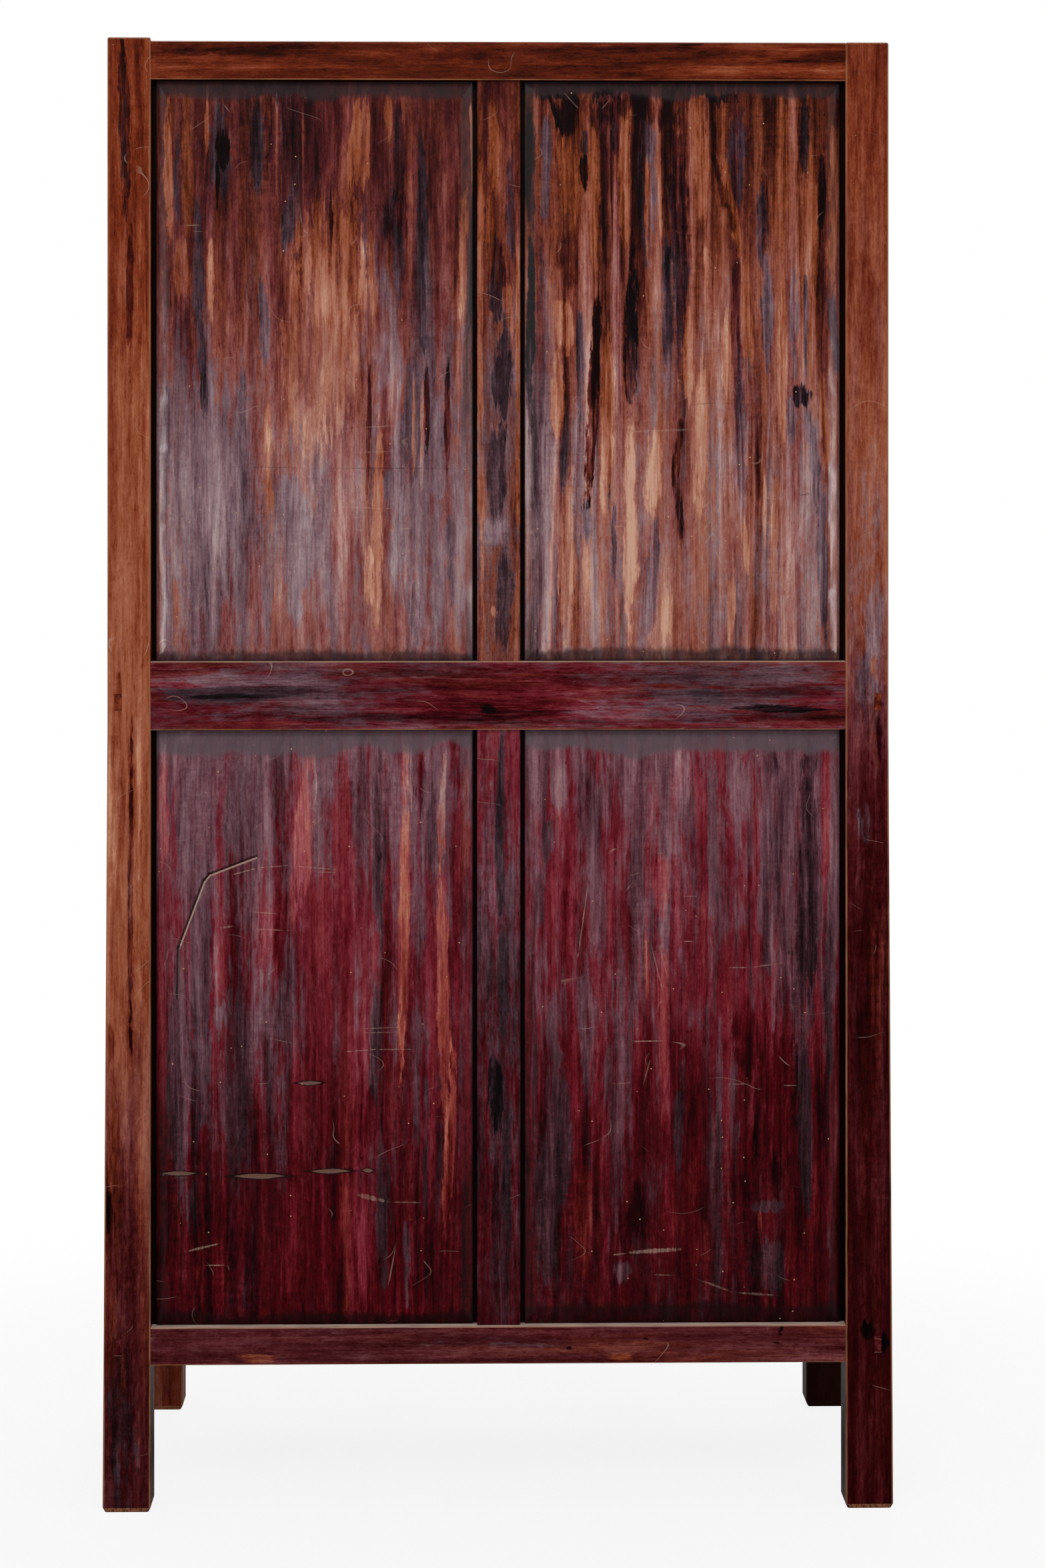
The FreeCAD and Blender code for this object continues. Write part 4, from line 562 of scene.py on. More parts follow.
class Lacquer(Finish):
    """Old lacquer over streaky wood, whose grain runs along the axis named."""

    def __init__(self, name, seed, run="z", seam=110.0):
        super().__init__(name)
        self.run = "xyz".index(run)
        self.seed = seed
        upright = run == "z"
        bend, jag, reach = (self.grained(noise) - 0.5 for noise in ("bend", "jag", "reach"))
        across, along = (self.x if upright else self.z), (self.x, self.y, self.z)[self.run]
        bent = across + bend * BEND_PUSH + jag * JAG_PUSH
        self.flow = self.joined(bent, along + reach * seam, 1.0)
        self.close = self.joined(
            across + jag * CLOSE_JAG_PUSH, along + reach * CLOSE_REACH_PUSH + jag * CLOSE_JAG_RISE, 1.0)
        self.plain = self.joined(self.x, self.z, 1.0)
        self.warped = self.joined(*((bent, self.y, self.z) if upright else (self.x, self.y, bent)))
        self.fine = self.grained("fine")
        self.ragged = (self.grained("ragged") - 0.5) * RAGGED_PUSH

    def grain(self, across, along):
        """Spread of a noise that is stretched along the grain."""
        return tuple(along if axis == self.run else across for axis in range(3))

    def grained(self, name):
        """One of the lacquer's noises, from 0 to 1."""
        across, along, shift, octaves, roughness, follows = NOISES[name]
        place = self.warped if follows else self.place
        return self.noise(self.grain(across, along), self.seed + shift, octaves, roughness, place)

    def streaks(self, kind, length, amount):
        """Broken streaks along the grain, at most about half the amount above and below 0."""
        across, share, shift = kind
        spread = self.grain(across, length * share)
        return (self.noise(spread, self.seed + shift, 5, 0.68, self.warped) - 0.5) * amount

    def add_up(self, rows):
        """The three sums of the marks' amounts, a few marks to a node group so no tree grows large."""
        sums = self.joined(0.0, 0.0, 0.0)
        for first in range(0, len(rows), MARKS_IN_GROUP):
            tree = marks_group(self.material.name + "_marks", rows[first:first + MARKS_IN_GROUP])
            sums = self.node("ShaderNodeGroup", {"node_tree": tree}, {
                "Flow": self.flow, "Close": self.close, "Plain": self.plain, "Ragged": self.ragged,
                "Sums": sums}).outputs["Sums"]
        return self.split(sums)

    def long_marks(self, marks):
        """Sums of the tone, warmth and grey bloom with painted sheen that the long leaning marks add."""
        rows = []
        for x, z, half_x, half_z, tone, warmth, bloom, *rest in marks:
            crisp, lean = (*rest, *USUAL_MARK[len(rest):])
            upright = self.run == 2
            aside, ahead, wide, long = (x, z, half_x, half_z) if upright else (z, x, half_z, half_x)
            tilt, reach = lean / 100, MARK_FADE / long
            rows.append((
                "Close" if max(wide, long) < CLOSE_LENGTH else "Flow",
                (1 / wide, -tilt / wide, (tilt * ahead - aside) / wide), (0, reach, -reach * ahead),
                LEAST_CORE + crisp * CORE_STEP, (tone / 100, warmth / 100, bloom / 100)))
        vary = self.ease(self.grained("strands"), 0.36, 0.58, 0.45, 1.15)
        return [added * vary for added in self.add_up(rows)]

    def wood(self, cool, warm, tones, warmths, blooms, contrast=1.0, marks=(), smoky=1.2, length=240,
             veil=0.92):
        """Colour of the lacquered wood, from profiles over its height and its marks.

        The tone picks a place on the cool and the warm ramp, the warmth mixes the two, and the grey
        bloom lies over both, faint where it is thin and with crisp edges where it is thick. The grey bloom
        is partly the lacquer's own haze and partly painted sheen of the lamps on the lacquer.
        """
        added_tone, added_warmth, added_bloom_and_sheen = self.long_marks(marks)
        parts = {name: self.grained(name) - 0.5 for name in ("fine_speckle", "mottle", "blotch", "ripple")}
        parts["fine"] = self.fine - 0.5
        clouds = self.grained("clouds") - 0.5
        parts["ripple"] = parts["ripple"] * self.ease(clouds, -0.02, 0.14, 0.1, 1.0)
        lively = self.ease(self.grained("lively"), 0.35, 0.65, 0.55, 1.25)
        # The tone's profile over the height is partly the wood's own colour and partly painted light: on the
        # back it is brightest about the middle of the height and darker towards the top and the bottom.
        tone = self.profile(tones) + self.streaks(TONE_STREAKS, length, 1.0) * lively * contrast
        tone = tone + added_tone
        # Among these, the fine speckle is painted glints of light on the pores.
        for name, share in TONE_SHARES.items():
            tone = tone + parts[name] * share
        tone = self.clamp(tone - self.ease(self.grained("fleck"), 0.6, 0.72) * FLECK_SHARE)
        warmth = self.profile(warmths) + self.streaks(WARM_STREAKS, length, WARM_SWING)
        warmth = self.ease(warmth + parts["mottle"] * 0.4 + added_warmth, 0.05, 0.95)
        # The grey bloom: partly the lacquer's own haze, partly painted sheen of the lamps, highest about the
        # middle of the height.
        bloom_and_sheen_amount = self.profile(blooms) + self.streaks(BLOOM_AND_SHEEN_STREAKS, length, smoky) + added_bloom_and_sheen
        bloom_and_sheen_amount = bloom_and_sheen_amount + clouds * smoky * 0.5 + (parts["mottle"] + parts["blotch"]) * 0.4
        colour = self.mix(warmth, self.ramp(tone, cool), self.ramp(tone, warm))
        bloom_and_sheen_amount = self.clamp(bloom_and_sheen_amount) * 0.3 + self.ease(bloom_and_sheen_amount, 0.34, 0.6, 0.0, 0.7)
        self.bloom = bloom_and_sheen_amount * self.ease(self.fine, 0.3, 0.6, 0.72, 1.0)
        return self.mix(self.bloom * veil, colour, self.ramp(tone, SLATE))

    def profile(self, stops):
        """Value that follows straight lines between heights in millimetres."""
        if isinstance(stops, (int, float)):
            return self.math("ADD", stops, 0.0)
        low, high = stops[0][0], stops[-1][0]
        share = self.math("MULTIPLY_ADD", self.z, 1 / (high - low), -low / (high - low))
        greys = [((z - low) / (high - low), (value,) * 3 + (1.0,)) for z, value in stops]
        made = self.node("ShaderNodeValToRGB", {"stops": greys}, {"Fac": share})
        return Signal(self, made.outputs["Color"])

    def scratch(self, colour, lines):
        """Draws pale and dark scratches, each a long thin oval."""
        rows = []
        for x0, z0, x1, z1, tenths, amount in lines:
            length, dx, dz = heading((x0, z0), (x1, z1))
            x, z = (x0 + x1) / 2, (z0 + z1) / 2
            half_width, half_length = max(tenths / 10, 0.9), length / 2
            across = (-dz / half_width, dx / half_width, (dz * x - dx * z) / half_width)
            along = (dx / half_length, dz / half_length, -(dx * x + dz * z) / half_length)
            rows.append(("Plain", across, along, 0.3, (max(amount, 0) / 100, max(-amount, 0) / 100, 0)))
        pale, dark, _ = self.add_up(rows)
        worn = self.ease(self.fine, 0.35, 0.6, 0.35, 1.0)
        colour = self.mix(self.clamp(pale * worn), colour, PALE_LINE)
        return self.mix(self.clamp(dark * worn), colour, SOOT_AND_SHADE)

    def specks(self, colour, spread=42.0, size=0.02, share=0.35):
        """Scatters small pale holes left by wood beetles."""
        distance, chance = self.cells(spread, self.seed)
        mask = self.ease(distance, size, size * 0.6) * self.ease(chance, share, share - 0.02)
        return self.mix(mask, colour, SPECK)

    def hairlines(self, colour, strength=0.4):
        """Draws thin curved scratches along the middle level of a slow noise."""
        line = abs(self.noise((130, 130, 80), self.seed + 31, 1) - 0.5)
        patch = self.noise((50, 50, 50), self.seed + 41, 1)
        mask = self.ease(line, 0.002, 0.0008) * self.ease(patch, 0.58, 0.66) * strength
        return self.mix(mask, colour, PALE_LINE)

    def relief(self):
        """Height of the pores and the grain for the bump."""
        return self.fine * 0.6 + self.grained("pore") * 0.4

    def patina(self, share, least):
        """Roughness that grows with the grey bloom and its painted sheen and with the fine grain."""
        return self.clamp(self.math("MULTIPLY_ADD", self.bloom, share, self.fine * least[1] + least[0]))


def size_setting(name, description, millimetres):
    """A setting that is a length, with its default in millimetres."""
    return bpy.props.FloatProperty(
        name=name, description=description, default=millimetres * mm, unit="LENGTH")


class CabinetSettings(bpy.types.PropertyGroup):
    """Sizes, colours and lights that a user would change."""

    bevel_width: size_setting("Bevel width", "Width of a raised panel's upright bevels", 16)
    end_bevel_width: size_setting("End bevel width", "Width of the bevels at a panel's top and bottom", 21)
    bevel_drop: size_setting("Bevel drop", "How far a bevel falls from the field to its edge", 4.5)
    bevel_wander: size_setting("Bevel wander", "How far a hand-cut bevel strays from a straight line", 3)
    channel_width: size_setting("Channel width", "Gap between a bevel's edge and the frame", 6)
    tongue_length: size_setting("Tongue length", "How far a panel reaches into its grooves", 8)
    end_gap: size_setting("End gap", "Gap between a panel's ends and the rails", 0.5)
    planing_depth: size_setting("Planing depth", "Depth of the shallow hollows that the plane left", 0.35)
    floor_colour: bpy.props.FloatVectorProperty(
        name="Floor colour", description="Colour of the studio floor",
        default=(0.9, 0.9, 0.9), size=3, subtype="COLOR")
    ambient: bpy.props.FloatProperty(
        name="Ambient light", description="Strength of the light from all sides", default=0.5)
    strip_power: bpy.props.FloatProperty(
        name="Strip lamp power", description="Power of each of the two upright lamps",
        default=18, unit="POWER")
    top_power: bpy.props.FloatProperty(
        name="Top lamp power", description="Power of the soft lamp above the camera",
        default=42, unit="POWER")
    lens: bpy.props.FloatProperty(
        name="Lens", description="Focal length of the camera in millimetres", default=74.16)
    camera_place: bpy.props.FloatVectorProperty(
        name="Camera place", description="Where the camera stands",
        default=(0.046, 4.318, 1.248), size=3, subtype="TRANSLATION", unit="LENGTH")
    camera_turn: bpy.props.FloatProperty(
        name="Camera turn", description="Turn of the camera from straight ahead",
        default=math.radians(1.07), subtype="ANGLE", unit="ROTATION")
    camera_shift: bpy.props.FloatProperty(
        name="Camera shift", description="Upright shift of the lens", default=-0.17)


def settings():
    """The scene's cabinet settings."""
    return bpy.context.scene.cabinet


def wobble(along, seed, lengths=(310.0, 137.0, 61.0), sizes=(0.5, 0.32, 0.18)):
    """Sum of three sines with their own lengths, sizes and seeded phases: an uneven hand-cut line."""
    phases = np.random.default_rng(seed).uniform(0, 2 * math.pi, len(lengths))
    waves = [s * np.sin(2 * math.pi * along / l + p) for l, s, p in zip(lengths, sizes, phases)]
    return np.sum(waves, axis=0)


def segment_distance(across, up, start, end):
    """Distance of each point to the straight line between two points."""
    (x0, z0), (x1, z1) = start, end
    share = ((across - x0) * (x1 - x0) + (up - z0) * (z1 - z0)) / ((x1 - x0) ** 2 + (z1 - z0) ** 2)
    share = np.clip(share, 0, 1)
    return np.hypot(across - x0 - share * (x1 - x0), up - z0 - share * (z1 - z0))


def panel_depth(across, up, box, seed):
    """How far each point of a raised panel lies below its field.

    The bevel falls in a straight line from the field to its outer edge, over a width that wanders
    with a sum of sines. Beyond the edge lies the tongue. The field has shallow planed hollows, each
    the square of a sine across the grain.
    """
    s = settings()
    x0, x1, z0, z1 = box
    drop = s.bevel_drop / mm
    tongue = 2 * drop + 1
    stray = s.bevel_wander / mm
    sides = []
    for number, (distance, along, width) in enumerate((
        (across - x0, up, s.bevel_width / mm), (x1 - across, up, s.bevel_width / mm),
        (up - z0, across, s.end_bevel_width / mm), (z1 - up, across, s.end_bevel_width / mm),
    )):
        sides.append(distance / (width + stray * wobble(along, seed * 10 + number)))
    share = np.min(sides, axis=0)
    bevel = drop * (1 - np.clip(share, 0, 1)) ** 1.15
    lengths = 46 + 5 * wobble(up, seed + 5)
    hollow = np.sin(math.pi * (across + 6 * wobble(up, seed + 6)) / lengths) ** 2
    depth = bevel + s.planing_depth / mm * hollow * np.clip(share, 0, 1)
    return np.where(share < -1e-6, tongue, depth)


def grid_lines(low, high, steps, spacing):
    """Places of the grid lines: even ones, with a close pair where the face steps down."""
    count = int(round((high - low) / spacing))
    even = np.linspace(low, high, count + 1)
    pairs = [place + shift for place in steps for shift in (-0.04, 0.04)]
    kept = even[np.min(np.abs(even[:, None] - np.array(steps)), axis=1) > spacing * 0.3]
    return np.sort(np.concatenate([kept, pairs]))


def closed_sheet(name, facing, points, back):
    """Mesh of a grid of points, walled along its rim and closed by the rim's own image at the back.

    The points are rows by columns by three, and the back gives each rim point's far twin. Facing is
    below 0 where the grid's own order would leave the faces pointing inward.
    """
    rows, columns = points.shape[:2]
    index = np.arange(rows * columns).reshape(rows, columns)
    quads = np.stack([index[:-1, :-1], index[:-1, 1:], index[1:, 1:], index[1:, :-1]], -1).reshape(-1, 4)
    rim = np.concatenate([index[0, :], index[1:, -1], index[-1, -2::-1], index[-2:0:-1, 0]])
    twin = rows * columns + np.arange(len(rim))
    walls = np.stack([np.roll(rim, -1), rim, twin, np.roll(twin, -1)], -1)
    vertices = np.concatenate([points.reshape(-1, 3), back(points.reshape(-1, 3)[rim])])
    quads = np.concatenate([quads, walls])
    if facing < 0:
        quads = quads[:, ::-1]
    cap = twin[::-1] if facing > 0 else twin
    mesh = bpy.data.meshes.new(name)
    mesh.from_pydata(vertices * mm, [], quads.tolist() + [cap.tolist()])
    mesh.update()
    return mesh


def raised_panel(node, finish, seed, spacing=2.6, carve=None):
    """Replaces a raised panel by a hand-planed one in the same place and returns it."""
    s = settings()
    low, high = (np.array(corner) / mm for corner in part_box(node))
    side_wall = node.startswith("side")
    outward = (1 if low[0] > 0 else -1) if side_wall else 1
    axis, depth_axis = (1, 0) if side_wall else (0, 1)
    inset, end_inset = (s.tongue_length + s.channel_width) / mm, (s.tongue_length + s.end_gap) / mm
    box = (low[axis] + inset, high[axis] - inset, low[2] + end_inset, high[2] - end_inset)
    across = grid_lines(low[axis], high[axis], box[:2], spacing)
    up = grid_lines(low[2], high[2], box[2:], spacing)
    across, up = np.meshgrid(across, up)
    face = high[depth_axis] if outward > 0 else low[depth_axis]
    inner = low[depth_axis] if outward > 0 else high[depth_axis]
    depth = panel_depth(across, up, box, seed)
    if carve:
        depth = depth + carve(across, up)
    points = np.zeros(across.shape + (3,))
    points[..., axis] = across
    points[..., depth_axis] = face - outward * depth
    points[..., 2] = up

    def to_back(rim):
        far = rim.copy()
        far[:, depth_axis] = inner
        return far

    turned = outward * (1 if side_wall else -1)
    mesh = closed_sheet(node + "_planed", turned, points, to_back)
    piece = bpy.data.objects.new(node + "_planed", mesh)
    bpy.context.scene.collection.objects.link(piece)
    mesh.materials.append(finish)
    mesh.polygons.foreach_set("use_smooth", np.zeros(len(mesh.polygons), bool))
    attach(piece, "carcase")
    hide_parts(node)
    return piece


def carved_scars(across, up):
    """Depth of the gouges and of the bent scratch: an oval hollow each, and a groove along its line."""
    depth = np.zeros_like(across)
    for x, z, half_length, half_height, deep in GOUGES:
        reach = ((across - x) / half_length) ** 2 + ((up - z) / half_height) ** 2
        depth = np.maximum(depth, deep * np.clip(1 - reach, 0, 1))
    for start, end in zip(BENT_SCRATCH, BENT_SCRATCH[1:]):
        reach = segment_distance(across, up, start, end)
        depth = np.maximum(depth, SCRATCH_DEPTH * np.clip(1 - reach / SCRATCH_HALF_WIDTH, 0, 1))
    return depth


def panel_finish(name, seed, heights, lines, top_band, bottom_band, sheen=0.1, scars=False, **wood):
    """Lacquer of one raised panel, with its marks, ragged ends, painted shade in its channel and bare inner
    face.

    A band lies over an end bevel: partly grey wax and dirt, partly painted reflection and shade. It is
    given as its thickness, how far it strays, its colour and its share. The rest describes the wood.
    """
    f = Lacquer(name, seed)
    colour = f.wood(**wood)
    low, high = heights
    fingers, slow = (f.grained(noise) - 0.5 for noise in ("fingers", "slow"))
    # End bands: partly grey wax and dirt, partly painted reflection and shade on the end bevels.
    for rise, (thick, stray, band, share) in ((f.z - low, bottom_band), ((f.z - high) * -1, top_band)):
        edge = rise + fingers * FINGER_PUSH + slow * stray * STRAY_PUSH
        cloud = f.ease(fingers + f.fine * 0.3, -0.05, 0.3, share * 0.7, share)
        colour = f.mix(f.ease(edge, thick + BAND_OUTWARD, thick - BAND_INWARD) * cloud, colour, band)
    colour = f.scratch(colour, lines)
    if scars:
        colour = scarred(f, colour, fingers)
    colour = f.hairlines(f.specks(f.specks(colour), 15.0, 0.07, 0.3), 0.3)
    # Painted shade: the channel round the panel turns near-black deep in the recess.
    colour = f.mix(f.ease(f.y, *CHANNEL_PLANE), colour, SOOT_AND_SHADE)
    bare = f.ramp(f.clamp(f.fine + 0.05), UMBER)
    colour = f.mix(f.ease(f.y, *BARE_PLANE), colour, bare)
    slope = f.ease(abs(f.split(f.facing)[0]), 0.12, 0.24)
    return f.done(colour, f.patina(0.12, (0.22, 0.3)), f.relief(), bump=0.3, coat=slope * sheen, gloss=0.025)


def scarred(f, colour, fingers):
    """Colours the gouges and the bent scratch: dark around, scraped or light within."""
    for x, z, half_length, half_height, _ in GOUGES:
        for grow, tint in ((1.35, NIGHT), (0.9, SCRAPE)):
            side = (f.x - x) / (half_length * grow)
            rise = (f.z + fingers * 3 - z) / (half_height * grow)
            share = f.ease(side * side + abs(rise), 1.0, 0.7)
            colour = f.mix(share * 0.85, colour, tint)
    for number, ends in enumerate(zip(BENT_SCRATCH, BENT_SCRATCH[1:])):
        colour = f.mix(f.stroke(*ends, 3.4) * 0.85, colour, NIGHT)
        lit = [(x + SCRATCH_LIGHT_SHIFT[0], z + SCRATCH_LIGHT_SHIFT[1]) for x, z in ends]
        light = SCRATCH_STRONG if number < SCRATCH_STRONG_STRETCHES else SCRATCH_FAINT
        colour = f.mix(f.stroke(*lit, 1.5) * light, colour, PALE_LINE)
    return colour


def frame_finish(name, seed, run="z", shade_plane=None, painted_foot_shadow=None, dust=(0.6, 1.0), **wood):
    """Lacquer of a post or rail: russet above, maroon below, with painted shade where it meets the panels.

    What describes the wood overrides the frame's usual lacquer.
    """
    f = Lacquer(name, seed, run, seam=80)
    usual = {"cool": MAROON, "warm": RUSSET, "tones": 0.45, "warmths": 0.5, "blooms": 0.0,
             "contrast": 1.1, "smoky": 0.25}
    colour = f.hairlines(f.specks(f.wood(**{**usual, **wood}), share=0.2))
    _, outward, upward = f.split(f.facing)
    # Pale gold on the chamfered arrises: partly rubbed wear, partly painted highlight.
    worn = f.ease(abs(outward), 0.62, 0.7) * f.ease(abs(outward), 0.96, 0.88)
    colour = f.mix(worn * f.ease(f.fine, 0.3, 0.6, 0.1, 0.8), colour, WORN_GOLD_AND_HIGHLIGHT)
    # Painted shade on the frame's inner sides, deep in the recess where it meets the panels.
    if shade_plane is not None:
        inner = f.ease(abs(f.x), *INNER_SIDE) * f.ease(f.y, *SIDE_START)
        colour = f.mix(f.ease(f.y, shade_plane, shade_plane - 3) * inner * 0.9, colour, SOOT_AND_SHADE)
    dusty = f.ease(upward, 0.6, 0.95) * f.ease(f.grained("rubbed"), 0.3, 0.6, *dust)
    colour = f.mix(dusty, colour, DUST)
    # Painted shadow on a front foot, strong at minus x and faint at plus x.
    if painted_foot_shadow is not None:
        shade = f.ease(f.z, *FOOT_SHADE) * f.ease(f.x, *painted_foot_shadow, 0.1, 0.95)
        colour = f.mix(shade, colour, SOOT_AND_SHADE)
    return f.done(colour, f.patina(0.15, (0.2, 0.35)), f.relief(), bump=0.25, gloss=0.02)


def dress(finish, *nodes):
    """Gives CAD nodes a finish."""
    for name in nodes:
        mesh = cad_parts[name].data
        mesh.materials.clear()
        mesh.materials.append(finish)


class CABINET_OT_back_panels(bpy.types.Operator):
    """Planes and lacquers the four raised panels of the back"""

    bl_idname = "cabinet.back_panels"
    bl_label = "Back panels"

    def execute(self, context):
        # The tone and grey-bloom profiles over the height hold painted light, highest about the middle of the
        # cabinet's height.
        upper, lower = (1067.5, 1797.5), (231.5, 980.5)
        raised_panel("back_panel_upper_right", panel_finish(
            "panel_veiled", 3.1, upper, UPPER_RIGHT_LINES, (16, 26, WAX_AND_REFLECTION_GREY, 0.9), (11, 14, WAX_AND_REFLECTION_GREY, 0.85),
            cool=PLUM, warm=AMBER, marks=UPPER_RIGHT, warmths=0.3, contrast=1.25, smoky=1.6, length=260,
            tones=((1060, 0.63), (1200, 0.7), (1420, 0.59), (1600, 0.41), (1800, 0.34)),
            blooms=((1060, 0.44), (1300, 0.5), (1450, 0.38), (1600, 0.22), (1800, 0.12)), sheen=0.45), 11)
        raised_panel("back_panel_upper_left", panel_finish(
            "panel_amber", 17.3, upper, UPPER_LEFT_LINES, (17, 20, WAX_AND_REFLECTION_GREY, 0.92), (14, 12, WAX_AND_REFLECTION_GREY, 0.85),
            cool=PLUM, warm=AMBER, marks=UPPER_LEFT, warmths=0.5, contrast=2.2, smoky=1.3, length=460,
            tones=((1060, 0.64), (1250, 0.69), (1450, 0.57), (1650, 0.39), (1800, 0.28)),
            blooms=((1060, 0.47), (1300, 0.43), (1500, 0.22), (1800, 0.0)), sheen=0.35), 12)
        raised_panel("back_panel_lower_right", panel_finish(
            "panel_scarred", 29.7, lower, LOWER_RIGHT_LINES, (24, 34, GREY_BLOOM_AND_SHEEN, 0.85),
            (14, 14, NIGHT, 0.85), cool=CRIMSON, warm=EMBER, marks=LOWER_RIGHT,
            tones=((230, 0.26), (400, 0.29), (620, 0.47), (980, 0.6)), warmths=((230, 0.1), (980, 0.12)),
            blooms=((230, 0.18), (500, 0.28), (800, 0.43), (980, 0.64)), contrast=1.2, smoky=1.8,
            length=380, veil=0.78, scars=True), 13, carve=carved_scars)
        raised_panel("back_panel_lower_left", panel_finish(
            "panel_dark", 41.9, lower, LOWER_LEFT_LINES, (26, 22, GREY_BLOOM_AND_SHEEN, 0.92),
            (22, 20, NIGHT, 0.8), cool=CRIMSON, warm=EMBER, marks=LOWER_LEFT,
            tones=((230, 0.26), (400, 0.28), (620, 0.45), (980, 0.58)), warmths=((230, 0.1), (980, 0.02)),
            blooms=((230, 0.2), (500, 0.32), (800, 0.45), (980, 0.66)), contrast=1.2, smoky=1.8,
            length=280, veil=0.72), 14)
        return {"FINISHED"}


class CABINET_OT_back_frame(bpy.types.Operator):
    """Lacquers the posts, rails and mullions of the back"""

    bl_idname = "cabinet.back_frame"
    bl_label = "Back frame"

    def execute(self, context):
        # The posts' and mullions' tone profiles hold painted light, brightest about the middle of the height.
        dress(frame_finish(
            "post_russet_high", 5.5, shade_plane=POST_SHADE_PLANE, marks=POST_RIGHT,
            tones=((0, 0.43), (150, 0.42), (380, 0.56), (620, 0.66), (980, 0.7), (1300, 0.62), (1500, 0.5),
                   (1850, 0.45)),
            warmths=((0, 0.15), (300, 0.2), (480, 0.5), (700, 0.9), (1850, 1.0)),
            blooms=((0, 0.22), (300, 0.1), (600, 0.2), (1100, 0.12), (1850, -0.1))), "post_back_right")
        dress(frame_finish(
            "post_russet_low", 7.7, shade_plane=POST_SHADE_PLANE, marks=POST_LEFT,
            tones=((0, 0.33), (200, 0.34), (600, 0.36), (900, 0.46), (1040, 0.66), (1300, 0.67),
                   (1500, 0.61), (1850, 0.46)),
            warmths=((0, 0.0), (900, 0.05), (1060, 0.5), (1200, 0.8), (1850, 0.85)),
            blooms=((0, 0.0), (900, 0.0), (1060, 0.36), (1160, 0.4), (1350, 0.25), (1550, 0.15))),
            "post_back_left")
        dress(frame_finish(
            "rail_top", 9.9, "x", RAIL_SHADE_PLANE, marks=TOP_RAIL, tones=0.345, warmths=0.95), "top_rail_back")
        dress(frame_finish(
            "rail_middle", 11.1, "x", RAIL_SHADE_PLANE, marks=MIDDLE_RAIL, cool=CRIMSON, smoky=0.8,
            tones=((981, 0.44), (1067, 0.41)), warmths=((981, 0.3), (1010, 0.1), (1067, 0.3)),
            blooms=0.42), "mid_rail_back")
        dress(frame_finish(
            "rail_bottom", 13.3, "x", RAIL_SHADE_PLANE, marks=BOTTOM_RAIL, tones=0.52, warmths=0.15,
            blooms=0.24, smoky=0.6), "bottom_rail_back")
        dress(frame_finish(
            "mullion_upper", 15.5, shade_plane=MULLION_SHADE_PLANE, marks=MULLION_UPPER, cool=PLUM, warm=AMBER,
            tones=((1060, 0.48), (1500, 0.46), (1800, 0.27)), contrast=1.2, smoky=0.8,
            blooms=((1060, 0.38), (1400, 0.54), (1650, 0.12), (1800, 0.0))), "back_mullion_upper")
        dress(frame_finish(
            "mullion_lower", 19.9, shade_plane=MULLION_SHADE_PLANE, marks=MULLION_LOWER, cool=CRIMSON, warm=EMBER,
            tones=((230, 0.28), (600, 0.34), (980, 0.56)), warmths=0.0,
            blooms=((230, 0.4), (600, 0.52), (980, 0.36)), smoky=0.9), "back_mullion_lower")
        return {"FINISHED"}


class CABINET_OT_sides_and_front(bpy.types.Operator):
    """Lacquers the side panels and the frame at the sides and front"""

    bl_idname = "cabinet.sides_and_front"
    bl_label = "Sides and front"

    def execute(self, context):
        tones = ((0, 0.5), (170, 0.44), (400, 0.42), (1100, 0.5), (1850, 0.42))
        warmths = ((0, 0.1), (700, 0.3), (1100, 0.8), (1850, 0.9))
        # The front posts get painted shadow on their feet.
        post = frame_finish(
            "post_front", 51.1, painted_foot_shadow=(100, -100), tones=tones,
            blooms=((0, 0.36), (250, 0.36), (450, 0.0)),
            warmths=((0, 0.9), (250, 0.8), (450, 0.25), (700, 0.3), (1100, 0.8), (1850, 0.9)))
        dress(post, "post_front_left", "post_front_right", "drawer_divider")
        dress(frame_finish("rail_front", 53.3, "x", tones=tones, warmths=warmths),
              "waist_rail", "apron_front", "top_rail_front", "bottom_rail_front")
        kinds = ("top_rail", "mid_rail", "bottom_rail", "apron")
        dress(frame_finish("rail_side", 55.9, "y", tones=tones, warmths=warmths),
              *(f"{kind}_{side}" for kind in kinds for side in SIDES))
        dress(frame_finish("board_top", 59.3, "x", tones=0.4, warmths=0.7, dust=(0.08, 0.4)), "top_panel")
        panel = frame_finish("panel_side", 57.7, tones=tones, warmths=warmths, blooms=0.15, contrast=1.0)
        for number, level in enumerate(("upper", "lower")):
            for side in SIDES:
                raised_panel(f"side_panel_{level}_{side}", panel, 20 + number, spacing=5.0)
        return {"FINISHED"}


class CABINET_OT_doors_and_drawers(bpy.types.Operator):
    """Lacquers the doors and the drawers' fronts"""

    bl_idname = "cabinet.doors_and_drawers"
    bl_label = "Doors and drawers"

    def execute(self, context):
        tones = ((230, 0.44), (1100, 0.52), (1800, 0.48))
        red = {"tones": tones, "warmths": 0.8, "cool": MAROON, "warm": DOOR_RED}
        upright = frame_finish("door_upright", 61.1, **red)
        level = frame_finish("door_level", 63.3, "x", **red)
        for side in SIDES:
            dress(upright, f"door_{side}_hinge_stile", f"door_{side}_lock_stile", f"door_{side}_panel")
            dress(level, f"door_{side}_rails", f"drawer_{side}_front")
        return {"FINISHED"}


